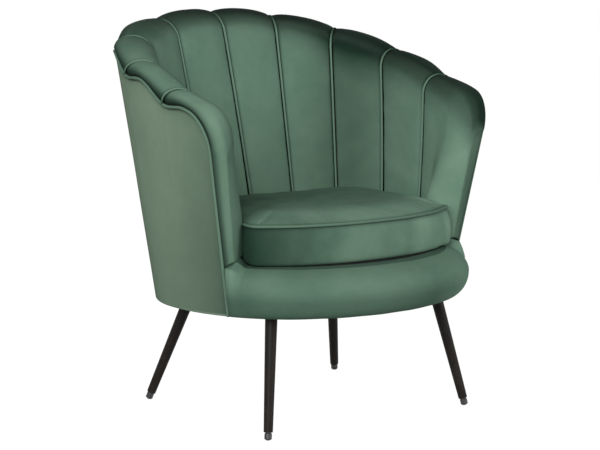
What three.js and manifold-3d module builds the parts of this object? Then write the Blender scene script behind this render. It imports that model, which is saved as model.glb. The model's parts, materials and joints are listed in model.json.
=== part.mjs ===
// Scallop back tub armchair, in millimetres: +X to the sitter's left of the view, +Z up, front towards -Y.
// The tub wall leans out from an oval seat frame to a scalloped rim. Ten upright channel pads
// line its inside and fold over the rim, with a sewn cord in each valley between them.
import * as THREE from 'three';
import { mergeVertices } from 'three/addons/utils/BufferGeometryUtils.js';
import Module from 'manifold-3d';

const wasm = await Module();
wasm.setup();

// Clearances: between pieces that touch, and the overrun of every cut
const gap = 0.3;
const sewnGap = 0.6;
const overrun = 5;

// Underside of the upholstery above the floor
const underside = 235;

// Outline of the tub at the underside
const footPlan = {
  halfWidth: 316, front: 300, back: 243, power: 2.15, centreY: 0, armFront: -158, fanShare: 0.035,
};

// Middle line of the rolled rim, seen from above
const rimPlan = { halfWidth: 334, front: 431, back: 347, power: 2.45, centreY: -20, armFront: -194 };

// Rim heights at the back and at the arm fronts, the arm's rounded top corner and the roll
const rim = {
  backHeight: 804, armHeight: 631, sweepAngle: 2.1, thickness: 76, cornerLength: 60, cornerHeight: 72,
};

// Wall thickness where the wall leaves the seat frame
const wallFoot = { side: 40, back: 104, lumbarShare: 0.72, taperPower: 1.8 };

// Channels: how many, how far they swell on the inside, over the rim and on the outside, and how much
// fuller the two arm fronts grow towards their feet
const channel = {
  count: 10, swell: 12, footSwell: 6, backScallop: 14, armScallop: 8, outerSwell: 5, power: 2.4,
  sharpness: 0.55,
  flare: 8, flareReach: 16, flareFade: 34, flareTopShare: 0.8, flareFootShare: 0.25,
};

// Layers of the wall, from the outside in
const layer = { cover: 2, board: 3, pad: 18, rimPad: 22, outerPad: 12, clear: 0.8, liningClear: 1.8 };

// Sewn cords: in the valleys, round the outside of the wall, and on the cushion
// The outer cord hangs under the rim's line and rises in a wave under each channel
const cord = {
  radius: 2.6, valleyLift: 5.3, endLift: 3.4, valleyDrop: 23, wave: 18, frontDrop: 14, proud: 1,
};

// Timber of the seat frame and the wall
const frame = {
  sheet: 18, spacer: 24, bandInset: 14, bandThickness: 6, rib: 18, post: 22,
  railTop: 24, railHeight: 50, railCorner: 9, railOuter: 14, railStart: 60, ringStart: 52, postBack: 55,
};

// Openings of the seat ring, under the straps, and of the base ring, between the legs: how far each lies
// inside the tub's outline
const seatHole = { side: 88, front: 88, back: 115, power: 2.3, centreY: -15 };
const baseHole = { side: 166, front: 135, back: 183, power: 2.3, centreY: -15 };

// Seat platform: elastic straps under a foam deck
const strap = { width: 50, thickness: 2, pitch: 76, lengthwise: 4, crosswise: 4, landing: 28, middleY: -42 };

// Foam deck over the straps
const deck = { thickness: 32.4, footClear: 5 };

// Front border under the cushion, measured from the tub's outline at the underside. Its ends lean out
// with the wall and rise in a mitre to the arm fronts
const border = {
  bulge: 40, widestShare: 0.53, topInset: 33, deckClear: 6, mitreRise: 18, mitreReach: 12, mitreFade: 20,
  mitreClear: 5.2,
};

// Seat cushion: the smaller of a front arc and the tub's inside, each measured from the tub's outline
const cushion = {
  arc: { side: -4, front: 38, back: -157, power: 2.3, centreY: 0 },
  tub: { side: 45, front: -50, back: 89, power: 2.3, centreY: 0 },
  cornerPower: 26, crownReach: 88, crownPower: 0.7, sideLean: 8, backLean: 14, band: 80, crown: 27,
  bandSwell: 4, edge: 5, footRadius: 9,
};

// Legs: how far out each foot stands, as shares of the tub's outline, splay of each leg axis, and diameters
const leg = {
  frontSideShare: 0.8038, frontShare: 0.7933, rearSideShare: 0.788, rearShare: 0.8436,
  topRadius: 12.5, endRadius: 9.2,
  frontSplayX: 0.184, frontSplayY: 0.205, rearSplayX: 0.276, rearSplayY: 0.31, bore: 26,
};
const glide = { radius: 7.5, dome: 9.5, head: 12, stemRadius: 4, stem: 22, flatDepth: 0.5, neck: 1.2 };
const plate = { radius: 34, thickness: 3, inward: 19, screws: 3, screwRadius: 25, holeRadius: 2.8 };
const screw = { shank: 2.3, head: 4.2, headHeight: 2, length: 17, pilotClearance: 0.35 };
const dustCover = { thickness: 1, plateMargin: 3 };

// Facet counts, and how many of the border's stations the frame and the deck leave out at each end
const facets = {
  padAcross: 6, rollRows: 3, padRows: 4, outerRows: 2, cordSides: 6, round: 14, small: 8, plate: 20,
  border: 22, cushion: 40, bandSkip: 3, deckSkip: 6,
};

const colours = {
  velvet: 0x55705e, velvetDark: 0x3f5648, timber: 0xc9ad84, ply: 0xbf9c6c, foam: 0xe6e2cf, webbing: 0x2b2b2e,
  felt: 0x1c1c1d, blackMetal: 0x16130f, zinc: 0xa8abae, blackPlastic: 0x101010, board: 0x8a6b48,
};

const chair = new THREE.Group();

function addPiece(name, geometry, colour, roughness, metalness = 0) {
  const material = new THREE.MeshStandardMaterial({ color: colour, roughness, metalness });
  const mesh = new THREE.Mesh(geometry, material);
  mesh.name = name;
  chair.add(mesh);
  return mesh;
}

const mix = (from, to, share) => from + (to - from) * share;
const clamp = (value, low, high) => Math.min(high, Math.max(low, value));

// Closed body helpers

function bodyFromTriangles(points, triangles) {
  let volume = 0;
  for (const [a, b, c] of triangles) {
    volume += points[a].dot(new THREE.Vector3().crossVectors(points[b], points[c]));
  }
  const index = triangles.flatMap(([a, b, c]) => (volume > 0 ? [a, b, c] : [a, c, b]));
  const geometry = new THREE.BufferGeometry().setFromPoints(points);
  geometry.setIndex(index);
  geometry.computeVertexNormals();
  return geometry;
}

// A sheet with a face and a back: every point of the face has its partner on the back,
// and the open edges of the sheet are closed from one to the other
function thickSheet(face, back, quads) {
  const count = face.length;
  const triangles = [];
  const edges = new Map();
  for (const [a, b, c, d] of quads) {
    triangles.push([a, b, c], [a, c, d]);
    triangles.push([c + count, b + count, a + count], [d + count, c + count, a + count]);
    for (const [from, to] of [[a, b], [b, c], [c, d], [d, a]]) {
      const twin = `${to}_${from}`;
      if (edges.has(twin)) edges.delete(twin);
      else edges.set(`${from}_${to}`, [from, to]);
    }
  }
  for (const [from, to] of edges.values()) {
    triangles.push([to, from, from + count], [to, from + count, to + count]);
  }
  return bodyFromTriangles([...face, ...back], triangles);
}

function gridQuads(columns, rows, start = 0) {
  const quads = [];
  for (let i = 0; i < columns; i += 1) {
    for (let j = 0; j < rows; j += 1) {
      const corner = start + i * (rows + 1) + j;
      quads.push([corner, corner + rows + 1, corner + rows + 2, corner + 1]);
    }
  }
  return quads;
}

// A body through rings of points, closed with flat ends or round on itself
function loft(rings, closed = false) {
  const sides = rings[0].length;
  const points = rings.flat();
  const triangles = [];
  const spans = closed ? rings.length : rings.length - 1;
  for (let i = 0; i < spans; i += 1) {
    const here = i * sides;
    const next = ((i + 1) % rings.length) * sides;
    for (let j = 0; j < sides; j += 1) {
      const k = (j + 1) % sides;
      triangles.push([here + j, here + k, next + k], [here + j, next + k, next + j]);
    }
  }
  if (!closed) {
    const ends = [[0, rings[0]], [(rings.length - 1) * sides, rings[rings.length - 1]]];
    ends.forEach(([start, ring], end) => {
      for (const [a, b, c] of capTriangles(ring)) {
        triangles.push(end ? [start + a, start + b, start + c] : [start + c, start + b, start + a]);
      }
    });
  }
  return bodyFromTriangles(points, orient(points, triangles));
}

// The flat triangles of a ring, found in the plane that the ring faces most
function capTriangles(ring) {
  const middle = ring.reduce((sum, point) => sum.add(point), new THREE.Vector3()).divideScalar(ring.length);
  const normal = new THREE.Vector3();
  ring.forEach((point, i) => {
    const next = ring[(i + 1) % ring.length];
    normal.add(new THREE.Vector3().crossVectors(point.clone().sub(middle), next.clone().sub(middle)));
  });
  normal.normalize();
  const across = ring[0].clone().sub(middle).projectOnPlane(normal).normalize();
  const up = new THREE.Vector3().crossVectors(normal, across);
  const flat = ring.map((point) => {
    const arm = point.clone().sub(middle);
    return new THREE.Vector2(arm.dot(across), arm.dot(up));
  });
  return THREE.ShapeUtils.triangulateShape(flat, []);
}

// Turns the triangles of the end caps so that they agree with the sides
function orient(points, triangles) {
  const used = new Set();
  const result = [];
  for (const [a, b, c] of triangles) {
    const clash = [[a, b], [b, c], [c, a]].some(([from, to]) => used.has(`${from}_${to}`));
    const turned = clash ? [a, c, b] : [a, b, c];
    turned.forEach((from, i) => used.add(`${from}_${turned[(i + 1) % turned.length]}`));
    result.push(turned);
  }
  return result;
}

function toSolid(geometry) {
  const bare = geometry.clone();
  bare.deleteAttribute('normal');
  if (bare.hasAttribute('uv')) bare.deleteAttribute('uv');
  const merged = mergeVertices(bare);
  const vertProperties = new Float32Array(merged.getAttribute('position').array);
  const triVerts = new Uint32Array(merged.index.array);
  return new wasm.Manifold(new wasm.Mesh({ numProp: 3, vertProperties, triVerts }));
}

function toGeometry(solid) {
  const mesh = solid.getMesh();
  const geometry = new THREE.BufferGeometry();
  const points = new Float32Array(mesh.vertProperties);
  geometry.setAttribute('position', new THREE.BufferAttribute(points, mesh.numProp));
  geometry.setIndex(new THREE.BufferAttribute(new Uint32Array(mesh.triVerts), 1));
  geometry.computeVertexNormals();
  return geometry;
}

function joinBodies(geometries) {
  return toGeometry(geometries.map(toSolid).reduce((all, one) => all.add(one)));
}

// A plate of a flat outline, with holes, from one height up to another
function sheetBody(outline, holes, low, thickness) {
  const shape = new THREE.Shape(outline);
  shape.holes = holes.map((points) => new THREE.Path(points));
  const geometry = new THREE.ExtrudeGeometry(shape, { depth: thickness, bevelEnabled: false });
  return geometry.translate(0, 0, low);
}

const circlePoints = (x, y, radius, sides) => Array.from({ length: sides }, (_, i) => {
  const angle = (i / sides) * Math.PI * 2;
  return new THREE.Vector2(x + radius * Math.cos(angle), y + radius * Math.sin(angle));
});

// A cord through its own points, each kept as a station of the tube
class Route extends THREE.Curve {
  constructor(points) {
    super();
    this.points = points;
  }

  getPoint(share) {
    const place = share * (this.points.length - 1);
    const first = clamp(Math.floor(place), 0, this.points.length - 2);
    return this.points[first].clone().lerp(this.points[first + 1], place - first);
  }

  getPointAt(share) {
    return this.getPoint(share);
  }
}

function cordBody(points, radius) {
  const section = new THREE.Shape(circlePoints(0, 0, radius, facets.cordSides));
  const settings = { steps: points.length - 1, extrudePath: new Route(points), bevelEnabled: false };
  return new THREE.ExtrudeGeometry(section, settings);
}

// Plan curves: an oval of its own power, run from the left arm front round the back to the right one

function planCurve({ halfWidth, front, back, power, centreY, armFront }) {
  const samples = 720;
  const cut = Math.asin(((centreY - armFront) / front) ** (power / 2));
  const points = [];
  for (let i = 0; i <= samples; i += 1) {
    const angle = mix(Math.PI + cut, -cut, i / samples);
    const x = halfWidth * Math.sign(Math.cos(angle)) * Math.abs(Math.cos(angle)) ** (2 / power);
    const reach = Math.sin(angle) > 0 ? back : front;
    const y = centreY + reach * Math.sign(Math.sin(angle)) * Math.abs(Math.sin(angle)) ** (2 / power);
    points.push(new THREE.Vector2(x, y));
  }
  return measuredCurve(points);
}

// The same oval's front, from the left arm to the right one
function frontCurve({ halfWidth, front, power, centreY, armFront }) {
  const samples = 360;
  const cut = Math.asin(((centreY - armFront) / front) ** (power / 2));
  const points = [];
  for (let i = 0; i <= samples; i += 1) {
    const angle = mix(Math.PI + cut, Math.PI * 2 - cut, i / samples);
    const x = halfWidth * Math.sign(Math.cos(angle)) * Math.abs(Math.cos(angle)) ** (2 / power);
    const y = centreY - front * Math.abs(Math.sin(angle)) ** (2 / power);
    points.push(new THREE.Vector2(x, y));
  }
  return measuredCurve(points);
}

function measuredCurve(points) {
  const lengths = [0];
  for (let i = 1; i < points.length; i += 1) {
    lengths.push(lengths[i - 1] + points[i].distanceTo(points[i - 1]));
  }
  const length = lengths[lengths.length - 1];
  const pointAt = (share) => {
    const wanted = clamp(share, 0, 1) * length;
    let low = 0;
    let high = lengths.length - 1;
    while (high - low > 1) {
      const middle = Math.floor((low + high) / 2);
      if (lengths[middle] > wanted) high = middle;
      else low = middle;
    }
    return points[low].clone().lerp(points[high], (wanted - lengths[low]) / (lengths[high] - lengths[low]));
  };
  const normalShare = 1 / 200;
  const normalAt = (share) => {
    const from = pointAt(clamp(share, 0, 1 - normalShare));
    const to = pointAt(clamp(share + normalShare, normalShare, 1));
    return new THREE.Vector2(from.y - to.y, to.x - from.x).normalize();
  };
  return { length, pointAt, normalAt };
}

const footCurve = planCurve(footPlan);
const rimCurve = planCurve(rimPlan);
const halfRim = rimCurve.length / 2;
const rollRadius = rim.thickness / 2;

// The border starts beside the cord at each arm front
const borderBehind = cord.frontDrop - gap;
const borderStart = footCurve.pointAt(borderBehind / halfRim / 2).y;
const frontEdge = frontCurve({ ...footPlan, armFront: borderStart });

// The wall. side runs from -1 at the left arm front over 0 at the back to 1 at the right arm front;
// depth goes down from the rim, and inset goes in from the wall's outer face

const channelShare = 2 / channel.count;

function scallop(side) {
  const place = (Math.abs(side) / channelShare) % 1;
  const last = Math.abs(side) > 1 - channelShare;
  const across = Math.abs(place * 2 - 1);
  if (last && place > 0.5) return 1;
  return Math.max(0, 1 - across ** channel.power) ** channel.sharpness;
}

const scallopRise = (side) => mix(channel.backScallop, channel.armScallop, Math.abs(side)) * scallop(side);

function rimHeight(side) {
  const fall = (rim.backHeight - rim.armHeight) / (1 - Math.cos(rim.sweepAngle));
  return rim.backHeight - fall * (1 - Math.cos(rim.sweepAngle * side)) + scallopRise(side);
}

// How far the outer cord hangs under the rim's edge: least under the middle of a channel
function flapDrop(side) {
  const place = (Math.abs(side) / channelShare) % 1;
  const last = Math.abs(side) > 1 - channelShare && place > 0.5;
  const wave = last ? 1 : (1 - Math.cos(Math.PI * 2 * place)) / 2;
  return cord.valleyDrop + scallopRise(side) - cord.wave * wave;
}

// How far the rounded arm corner lies under the rim's own line, a given length behind the arm front
function cornerDrop(behind) {
  const across = clamp(1 - behind / rim.cornerLength, 0, 1);
  return rim.cornerHeight * (1 - Math.sqrt(1 - across ** 2));
}

// Distance from the rim's edge, over the top or at the arm front, and the direction into the wall
function edgeDistance(behind, depth) {
  const across = 1 - behind / rim.cornerLength;
  const up = 1 - depth / rim.cornerHeight;
  if (across <= 0 || up <= 0) {
    const fromTop = depth < behind;
    return { distance: Math.min(depth, behind), into: fromTop ? [0, 1] : [1, 0] };
  }
  const reach = Math.hypot(across, up);
  const radius = (rim.cornerLength * across ** 2 + rim.cornerHeight * up ** 2) / reach ** 2;
  const slope = [across / rim.cornerLength, up / rim.cornerHeight];
  const size = Math.hypot(...slope);
  return { distance: Math.max(0, (1 - reach) * radius), into: [slope[0] / size, slope[1] / size] };
}

const roundShare = (distance, radius) => Math.sqrt(1 - clamp(1 - distance / radius, 0, 1) ** 2);

function wallShare(side, height) {
  return (height - underside) / (rimHeight(side) - underside);
}

function wallThickness(side, share) {
  const lumbar = Math.abs(side) < wallFoot.lumbarShare
    ? (1 + Math.cos((Math.PI * side) / wallFoot.lumbarShare)) / 2 : 0;
  const foot = mix(wallFoot.side, wallFoot.back, lumbar);
  return mix(foot, rim.thickness, clamp(share, 0, 1) ** wallFoot.taperPower);
}

// Where a place of the rim stands on the foot: the channels fan out a little as they go down
function fanned(side) {
  return side + footPlan.fanShare * Math.sin(Math.PI * side) * (1 - Math.abs(side));
}

// A point of the wall, inset from its outer face
function wallPoint(side, height, inset) {
  const kept = clamp(side, -1, 1);
  const place = (kept + 1) / 2;
  const footPlace = (fanned(kept) + 1) / 2;
  const share = wallShare(kept, height);
  const normal = footCurve.normalAt(footPlace).lerp(rimCurve.normalAt(place), share).normalize();
  const crest = rimCurve.pointAt(place).addScaledVector(rimCurve.normalAt(place), rollRadius);
  const point = footCurve.pointAt(footPlace).lerp(crest, share).addScaledVector(normal, -inset);
  return new THREE.Vector3(point.x, point.y, height);
}

const behindOf = (side) => (1 - Math.abs(side)) * halfRim;
const sideOf = (behind, sign) => sign * (1 - behind / halfRim);

// Skin and backing of the channel pads

function innerSkin(side, depth, thin = 0) {
  const behind = behindOf(side);
  const { distance, into } = edgeDistance(behind, depth);
  const shift = thin ? layer.rimPad * Math.max(0, 1 - distance / rollRadius) : 0;
  const sign = Math.sign(side) || 1;
  const shiftedSide = sideOf(behind + shift * into[0], sign);
  const height = rimHeight(side) - depth - shift * into[1];
  const thickness = wallThickness(side, wallShare(side, height));
  const round = roundShare(distance, rollRadius);
  const fullSwell = mix(channel.footSwell, channel.swell, wallShare(side, height));
  const swell = thin ? 0 : fullSwell * scallop(side) + armFlare(behind, wallShare(side, height));
  const inset = thickness / 2 + (thickness / 2 - thin + swell) * round;
  return wallPoint(shiftedSide, height, inset);
}

// How much fuller an arm front is towards its foot, at a distance behind its edge
function armFlare(behind, share) {
  const { flare, flareReach, flareFade, flareTopShare, flareFootShare } = channel;
  const rising = THREE.MathUtils.smoothstep(flareTopShare - share, 0, flareTopShare - flareFootShare);
  return flare * rising * (1 - THREE.MathUtils.smoothstep(behind, flareReach, flareReach + flareFade));
}

// The outer flap of a pad, from the rim's edge out to the piping
function outerSkin(side, depth, share, thin = 0) {
  const behind = behindOf(side);
  const { into } = edgeDistance(behind, depth);
  const reach = flapReach(side, into) * share;
  const shift = reach + (thin ? layer.rimPad * (1 - share) : 0);
  const sign = Math.sign(side) || 1;
  const shiftedSide = sideOf(behind + shift * into[0], sign);
  const height = rimHeight(side) - depth - shift * into[1];
  const thickness = wallThickness(side, wallShare(side, height));
  const swell = thin ? 0 : channel.outerSwell * scallop(side) * (1 - share ** 2);
  const inset = thickness / 2 - (thickness / 2 - thin + swell) * roundShare(share, 1);
  return wallPoint(shiftedSide, height, inset);
}

// Length of the flap, over the top and at an arm front
const flapReach = (side, into) => mix(cord.frontDrop, flapDrop(side), into[1] ** 2);

// Seat levels, stacked up from the underside
const baseBottom = underside + plate.thickness;
const baseTop = baseBottom + frame.sheet;
const seatRingBottom = baseTop + frame.spacer;
const seatRingTop = seatRingBottom + frame.sheet;
const strapTop = seatRingTop + gap + strap.thickness * 1.5;
const deckTop = strapTop + gap + deck.thickness;
const padFoot = deckTop + deck.footClear;
const mitreTop = deckTop + border.mitreRise;

const seams = Array.from({ length: channel.count - 1 }, (_, i) => (i + 1) * channelShare - 1);

// Stations across one channel, closer together beside the seams and towards an arm front
function channelStations(index) {
  const from = index * channelShare - 1;
  const clear = sewnGap / 2 / halfRim;
  const leftEnd = index === 0;
  const rightEnd = index === channel.count - 1;
  if (leftEnd || rightEnd) {
    const sign = leftEnd ? -1 : 1;
    const length = channelShare * halfRim;
    const behind = frontStations().concat([length - clear * halfRim]);
    const stations = behind.map((far) => sideOf(far, sign));
    return leftEnd ? stations : stations.reverse();
  }
  return Array.from({ length: facets.padAcross + 1 }, (_, i) => {
    const share = (1 - Math.cos((Math.PI * i) / facets.padAcross)) / 2;
    return mix(from + clear, from + channelShare - clear, share);
  });
}

// Stations behind an arm front: round its edge, over its corner, and on to the last seam
function frontStations() {
  const edge = Array.from({ length: facets.rollRows + 1 }, (_, i) => {
    return rollRadius * (1 - Math.cos((Math.PI / 2) * (i / facets.rollRows)));
  });
  const rest = channelShare * halfRim - rollRadius;
  const restShares = [0.28, 0.6, 0.9];
  return edge.concat(restShares.map((share) => rollRadius + rest * share));
}

// How much lower the flap at an arm front reaches than the edge beside it, down to the mitre's outer end
function mitreFall(side, depth) {
  const straight = rimHeight(side) - rim.cornerHeight - padFootAt(0);
  const share = clamp((depth - rim.cornerHeight) / straight, 0, 1);
  return Math.abs(side) < 1 ? 0 : (border.mitreRise / 2) * share;
}

// Height of the pads' feet: on the border's mitre at an arm front, and just over the deck round the tub
function padFootAt(behind) {
  const across = (1 + roundShare(behind, rollRadius)) / 2;
  const mitre = mix(deckTop, mitreTop, across) + border.mitreClear;
  return mix(mitre, padFoot, clamp((behind - rollRadius) / rollRadius, 0, 1));
}

function padGeometry(index) {
  const stations = channelStations(index);
  const columns = stations.length - 1;
  const rows = facets.rollRows + facets.padRows;
  const leftEnd = index === 0;
  const rightEnd = index === channel.count - 1;
  const face = [];
  const back = [];
  const rimPlaces = [];
  for (const side of stations) {
    const behind = behindOf(side);
    const start = cornerDrop(behind);
    const foot = rimHeight(side) - padFootAt(behind);
    for (let j = 0; j <= rows; j += 1) {
      const rollShare = 1 - Math.cos((Math.PI / 2) * Math.min(1, j / facets.rollRows));
      const restShare = Math.max(0, (j - facets.rollRows) / facets.padRows);
      const depth = mix(start + rollRadius * rollShare, foot, restShare);
      face.push(innerSkin(side, depth));
      back.push(innerSkin(side, depth, layer.pad));
      rimPlaces.push([side, depth]);
    }
  }
  const quads = gridQuads(columns, rows);
  const topRow = Array.from({ length: columns + 1 }, (_, i) => i * (rows + 1));
  const leftColumn = Array.from({ length: rows }, (_, j) => rows - j);
  const rightColumn = Array.from({ length: rows }, (_, j) => columns * (rows + 1) + j + 1);
  const edge = [...(leftEnd ? leftColumn : []), ...topRow, ...(rightEnd ? rightColumn : [])];
  let previous = edge;
  for (let k = 1; k <= facets.outerRows; k += 1) {
    const share = k / facets.outerRows;
    const current = edge.map((vertex) => {
      const [side, edgeDepth] = rimPlaces[vertex];
      const depth = edgeDepth + mitreFall(side, edgeDepth) * share;
      face.push(outerSkin(side, depth, share));
      back.push(outerSkin(side, depth, share, layer.outerPad));
      return face.length - 1;
    });
    for (let i = 0; i < edge.length - 1; i += 1) {
      quads.push([previous[i + 1], previous[i], current[i], current[i + 1]]);
    }
    previous = current;
  }
  return thickSheet(face, back, quads);
}

function addChannelPads() {
  for (let index = 0; index < channel.count; index += 1) {
    const fromCentre = index < channel.count / 2 ? channel.count / 2 - index : index + 1 - channel.count / 2;
    const hand = index < channel.count / 2 ? 'left' : 'right';
    addPiece(`channel_pad_${hand}_${fromCentre}`, padGeometry(index), colours.velvet, 0.85);
  }
}

// A cord in the valley between two pads: up the inside, over the rim and down to the piping
function valleyRoute(side) {
  const lift = (point, toward, amount) => point.clone().addScaledVector(toward, amount);
  const steps = 5;
  const rollSteps = 6;
  const place = (side + 1) / 2;
  const normal = rimCurve.normalAt(place);
  const out = new THREE.Vector3(normal.x, normal.y, 0);
  const up = new THREE.Vector3(0, 0, 1);
  const points = [];
  const foot = rimHeight(side) - padFoot;
  for (let i = 0; i < steps; i += 1) {
    const depth = mix(foot, rollRadius, i / steps);
    points.push(lift(innerSkin(side, depth), out.clone().negate(), cord.valleyLift));
  }
  for (let i = 0; i <= rollSteps; i += 1) {
    const angle = mix(-Math.PI / 2, Math.PI / 2, i / rollSteps);
    const fall = 1 - Math.cos(angle);
    const toward = out.clone().multiplyScalar(Math.sin(angle)).addScaledVector(up, Math.cos(angle));
    const surface = angle < 0 ? innerSkin(side, rollRadius * fall) : outerSkin(side, 0, fall);
    const amount = mix(cord.valleyLift, cord.endLift, Math.max(0, Math.sin(angle)));
    points.push(lift(surface, toward, amount));
  }
  const { height } = pipingPlace(side, 0, cord.radius + gap);
  points.push(wallPoint(side, height, -cord.endLift));
  return points;
}

// Every station of the rim, for the pieces that follow it round the chair
function rimStations() {
  const stations = [];
  for (let index = 0; index < channel.count; index += 1) {
    const own = channelStations(index);
    stations.push(...(index ? own.slice(1) : own));
  }
  return stations;
}

// The place of the piping for a point on the rim's edge, moved on by an extra distance
function pipingPlace(side, depth, extra) {
  const behind = behindOf(side);
  const { into } = edgeDistance(behind, depth);
  const reach = flapReach(side, into) + extra;
  const sign = Math.sign(side) || 1;
  return { side: sideOf(behind + reach * into[0], sign), height: rimHeight(side) - depth - reach * into[1] };
}

// The cord round the outside of the wall, with the cords of the valleys sewn into it
function addSeamPiping() {
  const frontSteps = 7;
  const extra = cord.radius + gap;
  const along = rimStations().map((side) => {
    const { side: moved, height } = pipingPlace(side, cornerDrop(behindOf(side)), extra);
    return wallPoint(moved, height, -cord.proud);
  });
  const armFront = (sign) => Array.from({ length: frontSteps }, (_, i) => {
    const top = rimHeight(sign) - rim.cornerHeight;
    const height = mix(underside + gap, top, i / frontSteps);
    return wallPoint(sideOf(cord.frontDrop + extra, sign), height, -cord.proud);
  });
  const points = [...armFront(-1), ...along, ...armFront(1).reverse()];
  const cords = [points, ...seams.map(valleyRoute)].map((route) => cordBody(route, cord.radius));
  addPiece('seam_piping', joinBodies(cords), colours.velvet, 0.8);
}

// A layer of the wall between two insets, under the piping and behind the arm fronts
function wallLayer({ outer, inner, bottom, frontClear, topClear, rows }) {
  const stations = rimStations();
  const face = [];
  const back = [];
  for (const side of stations) {
    const { side: moved, height: top } = pipingPlace(side, cornerDrop(behindOf(side)), topClear);
    const limit = 1 - frontClear / halfRim;
    const place = clamp(moved, -limit, limit);
    for (let j = 0; j <= rows; j += 1) {
      const height = mix(top, bottom, j / rows);
      face.push(wallPoint(place, height, outer(place, height)));
      back.push(wallPoint(place, height, inner(place, height)));
    }
  }
  return thickSheet(face, back, gridQuads(stations.length - 1, rows));
}

const innerFace = (side, height) => wallThickness(side, wallShare(side, height)) - layer.pad;
const boardInset = layer.cover + layer.clear;
const cavityInset = boardInset + layer.board + layer.clear;
const liningBack = (side, height) => innerFace(side, height) - layer.board - layer.liningClear;
const cavityInner = (side, height) => liningBack(side, height) - layer.clear;

function addWallLayers() {
  const cordClear = (cord.radius + gap) * 2;
  addPiece('outside_cover', wallLayer({
    outer: () => 0,
    inner: () => layer.cover,
    bottom: underside,
    frontClear: 0,
    topClear: cordClear,
    rows: 2,
  }), colours.velvetDark, 0.85);
  addPiece('outside_board', wallLayer({
    outer: () => boardInset,
    inner: () => boardInset + layer.board,
    bottom: underside,
    frontClear: layer.rimPad,
    topClear: cordClear,
    rows: 2,
  }), colours.board, 0.9);
  addPiece('lining_board', wallLayer({
    outer: liningBack,
    inner: (side, height) => innerFace(side, height) - layer.liningClear,
    bottom: seatRingTop + gap,
    frontClear: rollRadius + layer.clear,
    topClear: cordClear + layer.rimPad,
    rows: 3,
  }), colours.board, 0.9);
}

// Rail under the rim: a rounded bar that runs inside the roll from arm to arm
function addRimRail() {
  const start = sideOf(frame.railStart, 1);
  const inner = rimStations().filter((side) => Math.abs(side) < start);
  const rings = [-start, ...inner, start].map((side) => {
    const top = rimHeight(side) - cornerDrop(behindOf(side)) - frame.railTop - frame.railCorner;
    const bottom = top - frame.railHeight;
    const corner = frame.railCorner;
    const near = frame.railOuter;
    const far = (height) => cavityInner(side, height);
    const profile = [
      [near, bottom], [far(bottom), bottom], [far(top - corner), top - corner], [far(top) - corner, top],
      [near + corner, top], [near, top - corner],
    ];
    return profile.map(([inset, height]) => wallPoint(side, height, inset));
  });
  addPiece('rim_rail', loft(rings), colours.ply, 0.7);
}

// A place on the flat facets between the stations, where the boards run
function facetPoint(side, height, inset) {
  const stations = rimStations();
  const next = Math.max(1, stations.findIndex((station) => station > side));
  const from = stations[next - 1];
  const to = stations[next];
  const first = wallPoint(from, height, inset(from, height));
  return first.lerp(wallPoint(to, height, inset(to, height)), (side - from) / (to - from));
}

// Upright ribs between the boards, from the seat ring up to the rim rail
function ribGeometry(side, thickness) {
  const steps = 4;
  const bottom = seatRingTop + gap;
  const top = rimHeight(side) - cornerDrop(behindOf(side))
    - frame.railTop - frame.railCorner - frame.railHeight - channel.backScallop;
  const half = thickness / 2 / halfRim;
  const rings = Array.from({ length: steps + 1 }, (_, i) => {
    const height = mix(bottom, top, i / steps);
    const near = () => cavityInset;
    const far = (at, level) => cavityInner(at, level) - layer.clear * 2;
    return [[-half, near], [half, near], [half, far], [-half, far]]
      .map(([shift, inset]) => facetPoint(side + shift, height, inset));
  });
  return loft(rings);
}

function addRibs() {
  const ribShares = [-0.8, -0.53, -0.27, 0, 0.27, 0.53, 0.8];
  ribShares.forEach((share, i) => {
    addPiece(`back_rib_${i + 1}`, ribGeometry(share, frame.rib), colours.ply, 0.75);
  });
  for (const [hand, sign] of [['left', -1], ['right', 1]]) {
    const behind = frame.postBack + frame.post / 2;
    addPiece(`arm_post_${hand}`, ribGeometry(sideOf(behind, sign), frame.post), colours.timber, 0.75);
  }
}

// Stations along the front edge, closer together towards the arms
const frontShares = Array.from({ length: facets.border + 1 }, (_, i) => {
  return (1 - Math.cos((Math.PI * i) / facets.border)) / 2;
});

function frontPoint(share, inset, height) {
  const point = frontEdge.pointAt(share).addScaledVector(frontEdge.normalAt(share), inset);
  return new THREE.Vector3(point.x, point.y, height);
}

// Outline of the seat frame: the wall's inset round the back, and the front edge's own inset
function seatOutline({ height, wallInset, wallStart, frontInset, frontSkip }) {
  const wall = rimStations().filter((side) => behindOf(side) > wallStart)
    .map((side) => wallPoint(side, height, wallInset(side, height)));
  const front = frontShares.slice(frontSkip, -frontSkip).reverse()
    .map((share) => frontPoint(share, frontInset, height));
  return [...wall, ...front].map(({ x, y }) => new THREE.Vector2(x, y));
}

// An oval that lies inside the tub's outline by its own distances
const inTub = ({ side, front, back, power, centreY }) => ({
  halfWidth: footPlan.halfWidth - side,
  front: footPlan.front - front + centreY,
  back: footPlan.back - back - centreY,
  power,
  centreY,
});

// Points round an oval of its own power
function ovalPoints({ halfWidth, front, back, power, centreY }, count) {
  return Array.from({ length: count }, (_, i) => {
    const angle = (i / count) * Math.PI * 2;
    const cosine = Math.cos(angle);
    const sine = Math.sin(angle);
    const reach = sine > 0 ? back : front;
    return new THREE.Vector2(
      halfWidth * Math.sign(cosine) * Math.abs(cosine) ** (2 / power),
      centreY + reach * Math.sign(sine) * Math.abs(sine) ** (2 / power),
    );
  });
}

const bandBack = frame.bandInset + frame.bandThickness / 2 + gap;

// Outline of the two rings and of the dust cover under them
const ringOutline = (height) => seatOutline({
  height, wallInset: () => cavityInset, wallStart: frame.ringStart, frontInset: bandBack,
  frontSkip: facets.bandSkip,
});

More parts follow.
